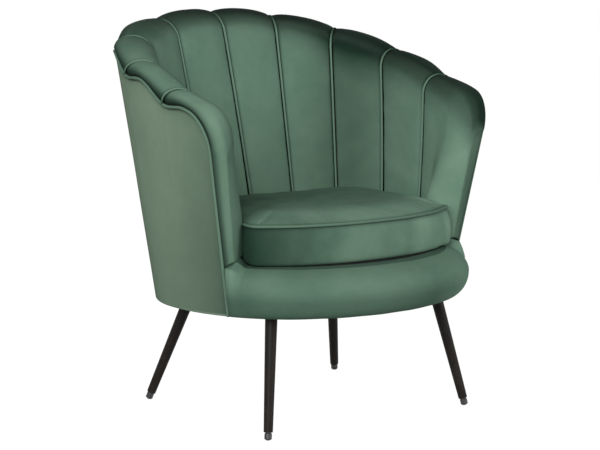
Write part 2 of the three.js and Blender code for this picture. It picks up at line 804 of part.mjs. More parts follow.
// Corners: the four legs, each with its hand, foot, splay and the point where it meets the seat frame
const plateBottom = baseBottom - gap - plate.thickness;
const corners = [
  ['front_left', -1, -1], ['front_right', 1, -1], ['rear_left', -1, 1], ['rear_right', 1, 1],
].map(([name, acrossSign, alongSign]) => {
  const rear = alongSign > 0;
  const foot = new THREE.Vector3(
    acrossSign * footPlan.halfWidth * (rear ? leg.rearSideShare : leg.frontSideShare),
    alongSign * (rear ? footPlan.back * leg.rearShare : footPlan.front * leg.frontShare),
    0,
  );
  const splay = new THREE.Vector3(
    -acrossSign * (rear ? leg.rearSplayX : leg.frontSplayX),
    -alongSign * (rear ? leg.rearSplayY : leg.frontSplayY),
    1,
  );
  const top = foot.clone().addScaledVector(splay, plateBottom - gap);
  const turn = Math.atan2(top.y, top.x);
  const seat = new THREE.Vector2(Math.cos(turn), Math.sin(turn)).multiplyScalar(-plate.inward).add(top);
  return { name, foot, axis: splay.clone().normalize(), top, seat, turn };
});

// A flat outline about a corner's seat, with its first axis pointing out from the chair's middle
const aboutSeat = (corner, points) => points.map((point) => {
  return new THREE.Vector2(point.x, point.y).rotateAround(new THREE.Vector2(), corner.turn).add(corner.seat);
});

function screwPlaces(corner) {
  const places = Array.from({ length: plate.screws }, (_, i) => {
    const angle = Math.PI + (i / plate.screws) * Math.PI * 2;
    return { x: plate.screwRadius * Math.cos(angle), y: plate.screwRadius * Math.sin(angle) };
  });
  return aboutSeat(corner, places);
}

function addSeatFrame() {
  const pilots = corners.flatMap((corner) => screwPlaces(corner)
    .map(({ x, y }) => circlePoints(x, y, screw.shank + screw.pilotClearance, facets.small)));
  const baseOpening = ovalPoints(inTub(baseHole), facets.cushion);
  const seatOpening = ovalPoints(inTub(seatHole), facets.cushion);
  const baseRing = sheetBody(ringOutline(baseBottom), [baseOpening, ...pilots], baseBottom, frame.sheet);
  addPiece('base_ring', baseRing, colours.ply, 0.75);
  const seatRing = sheetBody(ringOutline(seatRingBottom), [seatOpening], seatRingBottom, frame.sheet);
  addPiece('seat_ring', seatRing, colours.ply, 0.75);
  for (const corner of corners) {
    addPiece(`corner_block_${corner.name}`, blockGeometry(corner), colours.timber, 0.75);
  }
  addFrontBand();
}

// Corner block: a timber offcut between the rings over each leg, with its inner corners cut away
function blockGeometry(corner) {
  const half = plate.radius;
  const cut = half / 2;
  const outer = half - cut / 2;
  const outline = [[-half, -cut], [-cut, -half], [outer, -half], [outer, half], [-cut, half], [-half, cut]];
  const placed = aboutSeat(corner, outline.map(([x, y]) => ({ x, y })));
  return sheetBody(placed, [], baseTop + gap, frame.spacer - gap * 2);
}

// Bent plywood band in front of both rings
function addFrontBand() {
  const shares = frontShares.slice(facets.bandSkip, -facets.bandSkip);
  const outer = frame.bandInset - frame.bandThickness / 2;
  const levels = [baseBottom, seatRingTop];
  const face = shares.flatMap((share) => levels.map((height) => frontPoint(share, outer, height)));
  const back = shares.flatMap((share) => {
    return levels.map((height) => frontPoint(share, outer + frame.bandThickness, height));
  });
  addPiece('front_band', thickSheet(face, back, gridQuads(shares.length - 1, 1)), colours.ply, 0.75);
}

// How far an arm front leans out for each unit of height
const armCrest = rimCurve.pointAt(1).addScaledVector(rimCurve.normalAt(1), rollRadius);
const wallLean = armCrest.sub(footCurve.pointAt(1)).dot(footCurve.normalAt(1)) / (rimHeight(1) - underside);

// Front border: a padded roll from arm to arm in front of the band. The middle is a round section, the
// ends are a leaning face with a mitred slope on top, and mitred goes from 0 to 1 between them
function borderSection(share) {
  const end = Math.abs(share * 2 - 1);
  const fromEnd = (1 - end) / 2 * frontEdge.length;
  const { mitreReach, mitreFade } = border;
  const mitred = 1 - THREE.MathUtils.smoothstep(fromEnd, mitreReach, mitreReach + mitreFade);
  const bulge = border.bulge * Math.sqrt(Math.max(0, 1 - end ** 7));
  const top = deckTop - gap;
  const widest = mix(underside, top, border.widestShare);
  const lean = (height) => -wallLean * (height - underside);
  const mitreInset = wallThickness(1, wallShare(1, deckTop)) + lean(top);
  const lowerSteps = 4;
  const upperSteps = 6;
  const backInset = frame.bandInset - frame.bandThickness / 2 - gap;
  const section = [[backInset, underside], [0, underside]];
  const between = (round, angled) =>
    section.push(round.map((value, axis) => mix(value, angled[axis], mitred)));
  for (let i = 1; i <= lowerSteps; i += 1) {
    const angle = (Math.PI / 2) * (i / lowerSteps);
    const height = widest - (widest - underside) * Math.cos(angle);
    const out = -bulge * Math.sin(angle);
    between([out, height], [out + lean(height), height]);
  }
  for (let i = 1; i <= upperSteps; i += 1) {
    const angle = (Math.PI / 2) * (i / upperSteps);
    const rolledIn = mix(-bulge, border.topInset, 1 - Math.cos(angle));
    const round = [rolledIn, widest + (top - widest) * Math.sin(angle)];
    const rising = Math.min(1, (i / upperSteps) * 2);
    const across = Math.max(0, (i / upperSteps) * 2 - 1);
    const height = mix(widest, top, rising);
    const outer = lean(height) - bulge * Math.cos((Math.PI / 2) * rising);
    between(round, [mix(outer, mitreInset, across), height + border.mitreRise * across]);
  }
  const innerInset = mix(border.topInset, mitreInset, mitred) + gap;
  const foot = strapTop + gap;
  section.push([innerInset, top - gap * 2], [innerInset, foot], [backInset, foot]);
  return section;
}

function addFrontBorder() {
  const rings = frontShares.map((share) => {
    return borderSection(share).map(([inset, height]) => frontPoint(share, inset, height));
  });
  addPiece('front_border', loft(rings), colours.velvet, 0.85);
}

// Seat platform: straps over the ring, foam deck over the straps
function strapRun(span, low) {
  const geometry = new THREE.BoxGeometry(span, strap.width, strap.thickness);
  return geometry.translate(0, 0, low + strap.thickness / 2);
}

// Where the rings' opening starts and ends, along a line across it: along 0 for a line in Y, 1 for one in X
function openingSpan(along, across) {
  const hole = ovalPoints(inTub(seatHole), facets.cushion);
  const crossings = [];
  hole.forEach((point, i) => {
    const next = hole[(i + 1) % hole.length];
    const a = point.getComponent(along);
    const b = next.getComponent(along);
    if ((a - across) * (b - across) <= 0 && a !== b) {
      const [from, to] = [point, next].map((end) => end.getComponent(1 - along));
      crossings.push(mix(from, to, (across - a) / (b - a)));
    }
  });
  return [Math.min(...crossings), Math.max(...crossings)];
}

function addSeatPlatform() {
  const straps = [];
  for (let i = 0; i < strap.lengthwise; i += 1) {
    const x = (i - (strap.lengthwise - 1) / 2) * strap.pitch;
    const [low, high] = openingSpan(0, x);
    const run = strapRun(high - low + strap.landing * 2, seatRingTop + gap);
    straps.push(run.rotateZ(Math.PI / 2).translate(x, (low + high) / 2, 0));
  }
  for (let i = 0; i < strap.crosswise; i += 1) {
    const y = strap.middleY + (i - (strap.crosswise - 1) / 2) * strap.pitch;
    const [low, high] = openingSpan(1, y);
    const run = strapRun(high - low + strap.landing * 2, seatRingTop + gap + strap.thickness / 2);
    straps.push(run.translate((low + high) / 2, y, 0));
  }
  addPiece('seat_webbing', joinBodies(straps), colours.webbing, 0.9);
  const outline = seatOutline({
    height: strapTop + gap,
    wallInset: (side, height) => innerFace(side, height) + gap,
    wallStart: frame.postBack + frame.post,
    frontInset: border.topInset + border.deckClear,
    frontSkip: facets.deckSkip,
  });
  const foot = strapTop + gap;
  addPiece('deck_pad', sheetBody(outline, [], foot, deckTop - foot), colours.foam, 0.95);
}

// Cushion: flat underneath, a slightly swollen band with drawn-in ends, and a crowned top
function cushionRing(shrink, height) {
  const share = clamp((height - cushionFoot) / cushion.band, 0, 1);
  const fitted = (outline, sideGrowth, backGrowth) => ({
    ...outline,
    halfWidth: outline.halfWidth + sideGrowth * share - shrink,
    front: outline.front - shrink,
    back: outline.back + backGrowth * share - shrink,
  });
  const arc = fitted(inTub(cushion.arc), 0, 0);
  const tub = fitted(inTub(cushion.tub), cushion.sideLean, cushion.backLean);
  return Array.from({ length: facets.cushion }, (_, i) => {
    const angle = (i / facets.cushion) * Math.PI * 2;
    const reaches = [arc, tub].map((outline) => ovalReach(outline, angle) ** -cushion.cornerPower);
    const reach = (reaches[0] + reaches[1]) ** (-1 / cushion.cornerPower);
    return new THREE.Vector3(reach * Math.cos(angle), reach * Math.sin(angle), height);
  });
}

// How far an oval about the origin reaches in a direction
function ovalReach({ halfWidth, front, back, power }, angle) {
  const across = Math.abs(Math.cos(angle)) / halfWidth;
  const along = Math.abs(Math.sin(angle)) / (Math.sin(angle) > 0 ? back : front);
  return (across ** power + along ** power) ** (-1 / power);
}

const cushionFoot = deckTop + gap;
const cushionEdge = cushionFoot + cushion.band;

function addCushion() {
  const rings = [];
  const footSteps = 2;
  for (let i = 0; i <= footSteps; i += 1) {
    const angle = (Math.PI / 2) * (i / footSteps);
    rings.push(cushionRing(cushion.bandSwell + cushion.footRadius * (1 - Math.sin(angle)),
      cushionFoot + cushion.footRadius * (1 - Math.cos(angle))));
  }
  const bandSteps = 3;
  const bandFoot = cushionFoot + cushion.footRadius;
  const bandTop = cushionEdge - cord.radius;
  for (let i = 1; i <= bandSteps; i += 1) {
    const share = i / bandSteps;
    const swell = cushion.bandSwell * Math.sin(Math.PI * share);
    rings.push(cushionRing(cushion.bandSwell - swell + cushion.edge * share, mix(bandFoot, bandTop, share)));
  }
  const crownShares = [0.06, 0.2, 0.42, 0.7, 1];
  for (const share of crownShares) {
    const shrink = cushion.edge + cushion.bandSwell + cord.radius + cushion.crownReach * share;
    const rise = cushion.crown * Math.sin((Math.PI / 2) * share) ** cushion.crownPower;
    rings.push(cushionRing(shrink, cushionEdge - cord.radius + rise));
  }
  addPiece('seat_cushion', loft(rings), colours.velvet, 0.85);
  const lift = (cord.radius + gap) * Math.SQRT1_2;
  const line = cushionRing(cushion.bandSwell + cushion.edge - lift, cushionEdge - cord.radius + lift);
  addPiece('cushion_piping', closedCord(line, cord.radius), colours.velvet, 0.8);
}

function closedCord(points, radius) {
  const rings = points.map((point, i) => {
    const before = points[(i + points.length - 1) % points.length];
    const after = points[(i + 1) % points.length];
    const outward = new THREE.Vector3(after.y - before.y, before.x - after.x, 0).normalize();
    return circlePoints(0, 0, radius, facets.cordSides).map(({ x, y }) => {
      return point.clone().addScaledVector(outward, x).add(new THREE.Vector3(0, 0, y));
    });
  });
  return loft(rings, true);
}

// Legs: tapered steel tubes with a welded plate on top, and a screw-in levelling glide in each end

function revolved(profile, sides) {
  const points = profile.map(([radius, height]) => new THREE.Vector2(radius, height));
  return new THREE.LatheGeometry(points, sides).rotateX(Math.PI / 2);
}

const alongAxis = (geometry, corner) => {
  const turn = new THREE.Quaternion().setFromUnitVectors(new THREE.Vector3(0, 0, 1), corner.axis);
  return geometry.applyQuaternion(turn).translate(corner.foot.x, corner.foot.y, 0);
};

const boxBody = (low, high) => {
  const size = high.clone().sub(low);
  const middle = low.clone().add(high).divideScalar(2);
  return new THREE.BoxGeometry(size.x, size.y, size.z).translate(middle.x, middle.y, middle.z);
};

function legGeometry(corner) {
  const start = glideTop(corner) + gap;
  const full = (plateBottom - gap) / corner.axis.z + overrun * 2;
  const bore = glide.stemRadius + gap;
  const profile = [
    [0, start + leg.bore], [bore, start + leg.bore], [bore, start], [leg.endRadius, start],
    [leg.topRadius, full], [0, full],
  ];
  const tube = toSolid(alongAxis(revolved(profile, facets.round), corner));
  const reach = plate.radius;
  const above = boxBody(
    new THREE.Vector3(corner.top.x - reach, corner.top.y - reach, plateBottom + plate.thickness / 2),
    new THREE.Vector3(corner.top.x + reach, corner.top.y + reach, plateBottom + reach),
  );
  const holes = screwPlaces(corner).map(({ x, y }) => circlePoints(x, y, plate.holeRadius, facets.small));
  const outline = circlePoints(corner.seat.x, corner.seat.y, plate.radius, facets.plate);
  const topPlate = toSolid(sheetBody(outline, holes, plateBottom, plate.thickness));
  return toGeometry(tube.subtract(toSolid(above)).add(topPlate));
}

const domeCentre = (corner) => (glide.dome - glide.flatDepth) / corner.axis.z;
const domeAngle = Math.asin(glide.radius / glide.dome);
const headStart = (corner) => domeCentre(corner) - glide.dome * Math.cos(domeAngle);
const glideTop = (corner) => headStart(corner) + glide.head;

function glideGeometry(corner) {
  const domeSteps = 4;
  const profile = [];
  for (let i = 0; i <= domeSteps; i += 1) {
    const angle = domeAngle * (i / domeSteps);
    profile.push([glide.dome * Math.sin(angle), domeCentre(corner) - glide.dome * Math.cos(angle)]);
  }
  const top = glideTop(corner);
  profile.push(
    [glide.radius, top - glide.neck * 2], [glide.radius - glide.neck, top - glide.neck],
    [glide.radius - glide.neck, top], [glide.stemRadius, top],
    [glide.stemRadius, top + glide.stem], [0, top + glide.stem],
  );
  const solid = toSolid(alongAxis(revolved(profile, facets.round), corner));
  const reach = glide.dome * 2;
  const below = boxBody(
    new THREE.Vector3(corner.foot.x - reach, corner.foot.y - reach, -reach),
    new THREE.Vector3(corner.foot.x + reach, corner.foot.y + reach, 0),
  );
  return toGeometry(solid.subtract(toSolid(below)));
}

function addLegs() {
  for (const corner of corners) {
    addPiece(`leg_${corner.name}`, legGeometry(corner), colours.blackMetal, 0.4, 0.6);
    addPiece(`glide_${corner.name}`, glideGeometry(corner), colours.blackPlastic, 0.5);
    screwPlaces(corner).forEach(({ x, y }, i) => {
      const head = plateBottom - gap;
      const profile = [
        [0, head - screw.headHeight], [screw.head, head - screw.headHeight / 2], [screw.head, head],
        [screw.shank, head], [screw.shank, head + screw.length], [0, head + screw.length],
      ];
      const body = revolved(profile, facets.small).translate(x, y, 0);
      addPiece(`leg_screw_${corner.name}_${i + 1}`, body, colours.zinc, 0.35, 0.9);
    });
  }
}

function addDustCover() {
  const low = baseBottom - gap - dustCover.thickness;
  const cutOut = ({ seat }) => {
    const hole = circlePoints(seat.x, seat.y, plate.radius + dustCover.plateMargin, facets.plate);
    return toSolid(sheetBody(hole, [], low - overrun, dustCover.thickness + overrun * 2));
  };
  const cover = corners.reduce(
    (body, corner) => body.subtract(cutOut(corner)),
    toSolid(sheetBody(ringOutline(baseBottom), [], low, dustCover.thickness)),
  );
  addPiece('dust_cover', toGeometry(cover), colours.felt, 0.95);
}

addSeatFrame();
addRibs();
addRimRail();
addWallLayers();
addChannelPads();
addSeamPiping();
addFrontBorder();
addSeatPlatform();
addCushion();
addLegs();
addDustCover();

// The middle of the chair's footprint stands over the origin
const bounds = new THREE.Box3().setFromObject(chair);
chair.position.y = -(bounds.min.y + bounds.max.y) / 2;

export default chair;
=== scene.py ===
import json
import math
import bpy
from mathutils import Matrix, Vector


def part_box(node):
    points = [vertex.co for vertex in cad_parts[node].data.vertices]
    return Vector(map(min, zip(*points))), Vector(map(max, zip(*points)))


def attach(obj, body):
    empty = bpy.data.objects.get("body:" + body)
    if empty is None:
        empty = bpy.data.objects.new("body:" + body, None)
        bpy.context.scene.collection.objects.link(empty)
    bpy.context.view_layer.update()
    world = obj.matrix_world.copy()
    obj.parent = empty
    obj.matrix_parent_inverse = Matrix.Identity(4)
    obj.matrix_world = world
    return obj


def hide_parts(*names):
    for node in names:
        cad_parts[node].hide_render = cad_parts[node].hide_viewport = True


bl_info = {
    "name": "Scallop Back Tub Armchair",
    "version": (1, 0, 0),
    "blender": (4, 5, 0),
    "location": "3D View > Sidebar > Armchair",
    "description": "Velvet channels, border, cushion and legs for a scallop back tub armchair",
    "category": "Add Mesh",
}

import bmesh
import bpy
import numpy as np
from mathutils import Matrix, Vector, noise

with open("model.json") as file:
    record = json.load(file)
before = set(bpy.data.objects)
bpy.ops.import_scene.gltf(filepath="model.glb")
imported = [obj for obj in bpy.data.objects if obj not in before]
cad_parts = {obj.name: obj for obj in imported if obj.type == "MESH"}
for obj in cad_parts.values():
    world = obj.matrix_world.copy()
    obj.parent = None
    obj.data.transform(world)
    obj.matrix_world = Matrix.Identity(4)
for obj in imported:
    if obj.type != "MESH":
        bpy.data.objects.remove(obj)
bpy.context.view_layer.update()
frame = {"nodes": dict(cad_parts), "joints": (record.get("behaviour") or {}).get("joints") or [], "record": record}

MM = 0.001
CORNERS = ("front_left", "front_right", "rear_left", "rear_right")

# The tub, in millimetres: outlines, rim, wall, channels, border and cushion
UNDERSIDE = 235.0
FOOT = dict(half_width=316.0, front=300.0, back=243.0, power=2.15, centre=0.0, arm_front=-158.0)
FOOT_FAN = 0.035
RIM = dict(half_width=334.0, front=431.0, back=347.0, power=2.45, centre=-20.0, arm_front=-194.0)
BACK_HEIGHT, ARM_HEIGHT, RIM_SWEEP = 804.0, 631.0, 2.1
ROLL, ARM_LENGTH, ARM_DROP = 38.0, 60.0, 72.0
FOOT_SIDE, FOOT_BACK, LUMBAR, TAPER = 40.0, 104.0, 0.72, 1.8
CHANNELS = 10
CHANNEL_SHARE = 2 / CHANNELS
SCALLOP_POWER, SCALLOP_FULLNESS = 2.4, 0.55
BACK_RISE, ARM_RISE = 14.0, 8.0
PAD_THICK, RIM_THICK, FLAP_THICK = 18.0, 22.0, 12.0
PAD_SWELL, FOOT_SWELL, FLAP_SWELL = 12.0, 6.0, 5.0
ARM_FLARE, FLARE_TOP_SHARE, FLARE_RISE_SHARE, FLARE_START, FLARE_END = 8.0, 0.85, 0.5, 20.0, 90.0
PIPING_DROP, PIPING_WAVE, FRONT_DROP, PIPING_REACH = 23.0, 18.0, 14.0, 2.9
VALLEY_LIFT = 3.6
CORD_SIDES = 10
DECK_TOP, PAD_FOOT = 334.0, 339.0
BORDER_INSET, MITRE_RISE, MITRE_REACH, MITRE_FADE, MITRE_CLEAR = 33.0, 18.0, 12.0, 20.0, 0.8
BORDER_WIDEST_SHARE, BORDER_TUCK, BORDER_LEDGE = 0.53, 2.6, 302.0
BAND_INSET, HEM_INSET, HEM_DROP = 11.0, 4.0, 0.4
SEWN = 0.3
CUSHION_FOOT, CUSHION_BAND, CORNER_TILT = 334.3, 80.0, 0.625

# Light of the studio: place, aim, size in metres and power in watts
LAMPS = (
    ("left_softbox", (-3.3, -2.6, 2.2), (0, 0, 0.5), 3.0, 250),
    ("right_softbox", (2.2, -3.6, 1.5), (0, 0, 0.5), 2.2, 100),
)
WORLD_LIGHT = 0.10
FLOOR_HALF, FLOOR_COLOUR, FLOOR_WHITE, FLOOR_SEEN_SHARE = 8.0, (0.6, 0.6, 0.58, 1), 1.16, 0.86
# The camera: angles in degrees, distance and aim in metres, focal length in pixels of the photo
CAMERA_AZIMUTH, CAMERA_ELEVATION, CAMERA_DISTANCE, CAMERA_AIM = -36.5266, 8.2628, 4.30313, 0.37565
FOCAL_PIXELS, PHOTO_PIXELS, SENSOR_WIDTH = 2058.03, 600, 36.0
# Painted shade on the velvet: darkest where the pile lies back, to the right and down
SHADE_WAY = (0.62, 0.85, -0.66)


def shell_shift():
    """How far back the whole chair stands from the middle of the foot outline, in millimetres."""
    return (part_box("front_band")[0][1] + (FOOT["front"] - BAND_INSET) * MM) / MM


SHIFT = shell_shift()


# Outlines of the tub


class Outline:
    """An oval of its own power, measured along its length from the left arm front to the right one."""

    POINTS = 1441
    STEP = 1 / 200

    def __init__(self, half_width, front, back, power, centre, arm_front, across_front=False):
        cut = math.asin(((centre - arm_front) / front) ** (power / 2))
        turn = np.linspace(math.pi + cut, 2 * math.pi - cut if across_front else -cut, self.POINTS)
        x = half_width * np.sign(np.cos(turn)) * np.abs(np.cos(turn)) ** (2 / power)
        reach = np.where(np.sin(turn) > 0, back, front)
        y = centre + reach * np.sign(np.sin(turn)) * np.abs(np.sin(turn)) ** (2 / power)
        self.x, self.y = x, y
        steps = np.hypot(np.diff(x), np.diff(y))
        self.length = float(steps.sum())
        self.share = np.concatenate([[0.0], np.cumsum(steps)]) / self.length

    def at(self, share):
        share = np.clip(share, 0, 1)
        return np.stack([np.interp(share, self.share, self.x), np.interp(share, self.share, self.y)], -1)

    def normal(self, share):
        start = self.at(np.clip(share, 0, 1 - self.STEP))
        end = self.at(np.clip(share + self.STEP, self.STEP, 1))
        out = np.stack([start[..., 1] - end[..., 1], end[..., 0] - start[..., 0]], -1)
        return out / np.linalg.norm(out, axis=-1, keepdims=True)


FOOT_LINE = Outline(**FOOT)
RIM_LINE = Outline(**RIM)
HALF_RIM = RIM_LINE.length / 2
BORDER_START = float(FOOT_LINE.at(np.array((FRONT_DROP - SEWN) / HALF_RIM / 2))[1])
FRONT_LINE = Outline(**{**FOOT, "arm_front": BORDER_START}, across_front=True)


# The wall: side runs from -1 at the left arm front over 0 at the back to 1 at the right arm front


def eased(value, start, end):
    """0 before the start, 1 past the end, with a soft change between them."""
    share = np.clip((np.asarray(value, float) - start) / (end - start), 0, 1)
    return share * share * (3 - 2 * share)


def unit_rows(ways):
    return ways / np.maximum(np.linalg.norm(ways, axis=-1, keepdims=True), 1e-9)


def fading(distance, reach):
    """1 at no distance, falling off as a bell with the given reach."""
    return np.exp(-((distance / reach) ** 2))


def channel_place(side):
    """Place across a channel, from 0 in the valley nearer the back to 1 in the next."""
    return (np.abs(side) / CHANNEL_SHARE) % 1


def beside_arm_front(side):
    return (np.abs(side) > 1 - CHANNEL_SHARE) & (channel_place(side) > 0.5)


def scallop(side):
    """The swelling of a channel: 1 along its middle, 0 in the valleys beside it."""
    bulge = np.maximum(0, 1 - np.abs(channel_place(side) * 2 - 1) ** SCALLOP_POWER) ** SCALLOP_FULLNESS
    return np.where(beside_arm_front(side), 1.0, bulge)


def scallop_rise(side):
    """How far the rim's edge rises over its valleys."""
    return (BACK_RISE + (ARM_RISE - BACK_RISE) * np.abs(side)) * scallop(side)


def rim_height(side):
    fall = (BACK_HEIGHT - ARM_HEIGHT) / (1 - math.cos(RIM_SWEEP))
    return BACK_HEIGHT - fall * (1 - np.cos(RIM_SWEEP * side)) + scallop_rise(side)


def corner_drop(behind):
    across = np.clip(1 - behind / ARM_LENGTH, 0, 1)
    return ARM_DROP * (1 - np.sqrt(1 - across**2))


def edge_distance(behind, depth):
    """Distance in from the rim's edge, over the top or at an arm front, and the way in: (across, down)."""
    across = 1 - behind / ARM_LENGTH
    up = 1 - depth / ARM_DROP
    reach = np.maximum(np.hypot(across, up), 1e-9)
    radius = (ARM_LENGTH * across**2 + ARM_DROP * up**2) / reach**2
    slope = unit_rows(np.stack([across / ARM_LENGTH, up / ARM_DROP], -1))
    flat = (across <= 0) | (up <= 0)
    top = depth < behind
    straight = np.stack([np.where(top, 0.0, 1.0), np.where(top, 1.0, 0.0)], -1)
    distance = np.where(flat, np.minimum(depth, behind), np.maximum(0, (1 - reach) * radius))
    return distance, np.where(flat[..., None], straight, slope)


def round_share(distance, radius):
    return np.sqrt(1 - np.clip(1 - distance / radius, 0, 1) ** 2)


def wall_share(side, height):
    return (height - UNDERSIDE) / (rim_height(side) - UNDERSIDE)


def wall_thickness(side, share):
    lumbar = np.where(np.abs(side) < LUMBAR, (1 + np.cos(np.pi * side / LUMBAR)) / 2, 0)
    foot = FOOT_SIDE + (FOOT_BACK - FOOT_SIDE) * lumbar
    return foot + (ROLL * 2 - foot) * np.clip(share, 0, 1) ** TAPER


def wall_point(side, height, inset):
    """A place on the wall, inset from its outside."""
    side = np.clip(side, -1, 1)
    place = (side + 1) / 2
    foot_place = (side + FOOT_FAN * np.sin(np.pi * side) * (1 - np.abs(side)) + 1) / 2
    share = wall_share(side, height)[..., None]
    normal = FOOT_LINE.normal(foot_place) * (1 - share) + RIM_LINE.normal(place) * share
    normal /= np.linalg.norm(normal, axis=-1, keepdims=True)
    crest = RIM_LINE.at(place) + RIM_LINE.normal(place) * ROLL
    point = FOOT_LINE.at(foot_place) * (1 - share) + crest * share - normal * np.asarray(inset)[..., None]
    height = np.broadcast_to(height, point.shape[:-1])
    return np.stack([point[..., 0], point[..., 1] + SHIFT, height], -1)


def behind_of(side):
    """How far a place of the rim lies behind the arm front on its side."""
    return (1 - np.abs(side)) * HALF_RIM


def arm_flare(behind, share, flare):
    """How much fuller an arm front is towards its foot, at a distance behind its edge."""
    rising = eased(FLARE_TOP_SHARE - share, 0, FLARE_RISE_SHARE)
    return flare * rising * (1 - eased(behind, FLARE_START, FLARE_END))


def moved_in(side, depth, shift, into):
    """Side and height of a place on the rim, shifted in from its edge."""
    sign = np.where(side < 0, -1.0, 1.0)
    moved = sign * (1 - (behind_of(side) + shift * into[..., 0]) / HALF_RIM)
    return moved, rim_height(side) - depth - shift * into[..., 1]


def inner_skin(side, depth, thin=0.0, swell=PAD_SWELL, flare=ARM_FLARE):
    """The seat side of a channel, from the rim's edge down."""
    behind = behind_of(side)
    distance, into = edge_distance(behind, depth)
    shift = RIM_THICK * np.maximum(0, 1 - distance / ROLL) if thin else 0.0
    moved, height = moved_in(side, depth, shift, into)
    share = wall_share(side, height)
    thickness = wall_thickness(side, share)
    full = 0.0
    if not thin:
        full = (FOOT_SWELL + (swell - FOOT_SWELL) * share) * scallop(side) + arm_flare(behind, share, flare)
    inset = thickness / 2 + (thickness / 2 - thin + full) * round_share(distance, ROLL)
    return wall_point(moved, height, inset)


def flap_drop(side):
    """How far the outer piping hangs under the rim's edge: least under the middle of a channel."""
    wave = np.where(beside_arm_front(side), 1.0, (1 - np.cos(2 * np.pi * channel_place(side))) / 2)
    return PIPING_DROP + scallop_rise(side) - PIPING_WAVE * wave


def flap_reach(side, into):
    """Length of the flap, over the top and at an arm front."""
    return FRONT_DROP + (flap_drop(side) - FRONT_DROP) * into[..., 1] ** 2


def outer_skin(side, depth, share, thin=0.0):
    """The flap of a channel over the rim, from the rim's edge out to the piping."""
    _, into = edge_distance(behind_of(side), depth)
    shift = flap_reach(side, into) * share + (RIM_THICK * (1 - share) if thin else 0.0)
    moved, height = moved_in(side, depth, shift, into)
    thickness = wall_thickness(side, wall_share(side, height))
    full = 0.0 if thin else FLAP_SWELL * scallop(side) * (1 - share**2)
    inset = thickness / 2 - (thickness / 2 - thin + full) * round_share(share, 1.0)
    return wall_point(moved, height, inset)


def piping_place(side, extra):
    """Where the outer piping runs for a place on the rim, moved on by an extra distance."""
    behind = behind_of(side)
    depth = corner_drop(behind)
    _, into = edge_distance(behind, depth)
    return moved_in(side, depth, flap_reach(side, into) + extra, into)


def pad_foot_at(behind):
    """Height of the pads' feet: on the border's mitre at an arm front, just over the deck round the tub."""
    across = (1 + round_share(behind, ROLL)) / 2
    mitre = DECK_TOP + MITRE_RISE * across + MITRE_CLEAR
    share = np.clip((behind - ROLL) / ROLL, 0, 1)
    return mitre + (PAD_FOOT - mitre) * share


def mitre_fall(side, depth):
    """How much lower the flap at an arm front reaches, down to the mitre's outer end."""
    straight = rim_height(side) - ARM_DROP - pad_foot_at(np.zeros_like(side))
    share = np.clip((depth - ARM_DROP) / straight, 0, 1)
    return np.where(np.abs(side) < 1, 0.0, MITRE_RISE / 2 * share)


# How far an arm front leans out for each millimetre of height
ARM_END = np.array(1.0)
ARM_CREST = RIM_LINE.at(ARM_END) + RIM_LINE.normal(ARM_END) * ROLL
ARM_OUT = float((ARM_CREST - FOOT_LINE.at(ARM_END)) @ FOOT_LINE.normal(ARM_END))
ARM_LEAN = ARM_OUT / float(rim_height(ARM_END) - UNDERSIDE)


# Mesh helpers


def grid_quads(columns, rows):
    quads = []
    for i in range(columns):
        for j in range(rows):
            corner = i * (rows + 1) + j
            quads.append((corner, corner + rows + 1, corner + rows + 2, corner + 1))
    return quads


def grid_loops(rings, count, closed=False):
    """Quads between rings of points, each ring closed on itself."""
    faces = []
    for i in range(rings if closed else rings - 1):
        here, following = i * count, (i + 1) % rings * count
        for j in range(count):
            k = (j + 1) % count
            faces.append((here + j, here + k, following + k, following + j))
    return faces


def mesh_object(name, points, faces, material, pile=None, crease_shade=None, nap=None):
    """A closed mesh from points in millimetres, with its faces turned out and its velvet layers on it: the way its
    pile lies, and its painted shade.
    """
    mesh = bpy.data.meshes.new(name)
    mesh.from_pydata([tuple(p) for p in np.asarray(points, float) * MM], [], [tuple(f) for f in faces])
    # Painted shade: how far the velvet's colour is darkened at each point
    if nap is not None:
        nap = np.clip(nap, 0, 1)
    for layer, kind, field, values in (
        ("pile", "FLOAT_VECTOR", "vector", pile),
        ("nap", "FLOAT", "value", nap),
        ("crease_shade", "FLOAT", "value", crease_shade),
    ):
        if values is not None:
            made = mesh.attributes.new(layer, kind, "POINT")
            made.data.foreach_set(field, np.asarray(values, np.float32).ravel())
    work = bmesh.new()
    work.from_mesh(mesh)
    bmesh.ops.recalc_face_normals(work, faces=work.faces)
    if work.calc_volume(signed=True) < 0:
        bmesh.ops.reverse_faces(work, faces=work.faces)
    work.to_mesh(mesh)
    work.free()
    mesh.validate()
    for polygon in mesh.polygons:
        polygon.use_smooth = True
    piece = bpy.data.objects.new(name, mesh)
    bpy.context.collection.objects.link(piece)
    piece.data.materials.append(material)
    return piece


def close_sheet(face_count, quads):
    """The faces of a sheet with a back: the quads, their partners behind, and the open edges between."""
    faces = [tuple(q) for q in quads]
    faces += [tuple(v + face_count for v in reversed(q)) for q in quads]
    edges = {}
    for a, b, c, d in quads:
        for start, end in ((a, b), (b, c), (c, d), (d, a)):
            if edges.pop((end, start), None) is None:
                edges[(start, end)] = True
    faces += [(end, start, start + face_count, end + face_count) for start, end in edges]
    return faces


def closed_tube(rings, count):
    """Quads between rings of points, with a flat face over each end."""
    last = (rings - 1) * count
    return grid_loops(rings, count) + [tuple(reversed(range(count))), tuple(range(last, last + count))]


def tube(route, radius):
    """Points and faces of a round cord along a route, with flat ends."""
    route = np.asarray(route, float)
    ahead = np.gradient(route, axis=0)
    ahead /= np.linalg.norm(ahead, axis=1, keepdims=True)
    across = np.cross(ahead[0], [0.31, 0.17, 0.93])
    points = []
    for place, way, thick in zip(route, ahead, np.broadcast_to(radius, len(route))):
        across = across - way * np.dot(across, way)
        across /= np.linalg.norm(across)
        up = np.cross(way, across)
        for k in range(CORD_SIDES):
            turn = 2 * math.pi * k / CORD_SIDES
            points.append(place + (across * math.cos(turn) + up * math.sin(turn)) * thick)
    return points, closed_tube(len(route), CORD_SIDES)


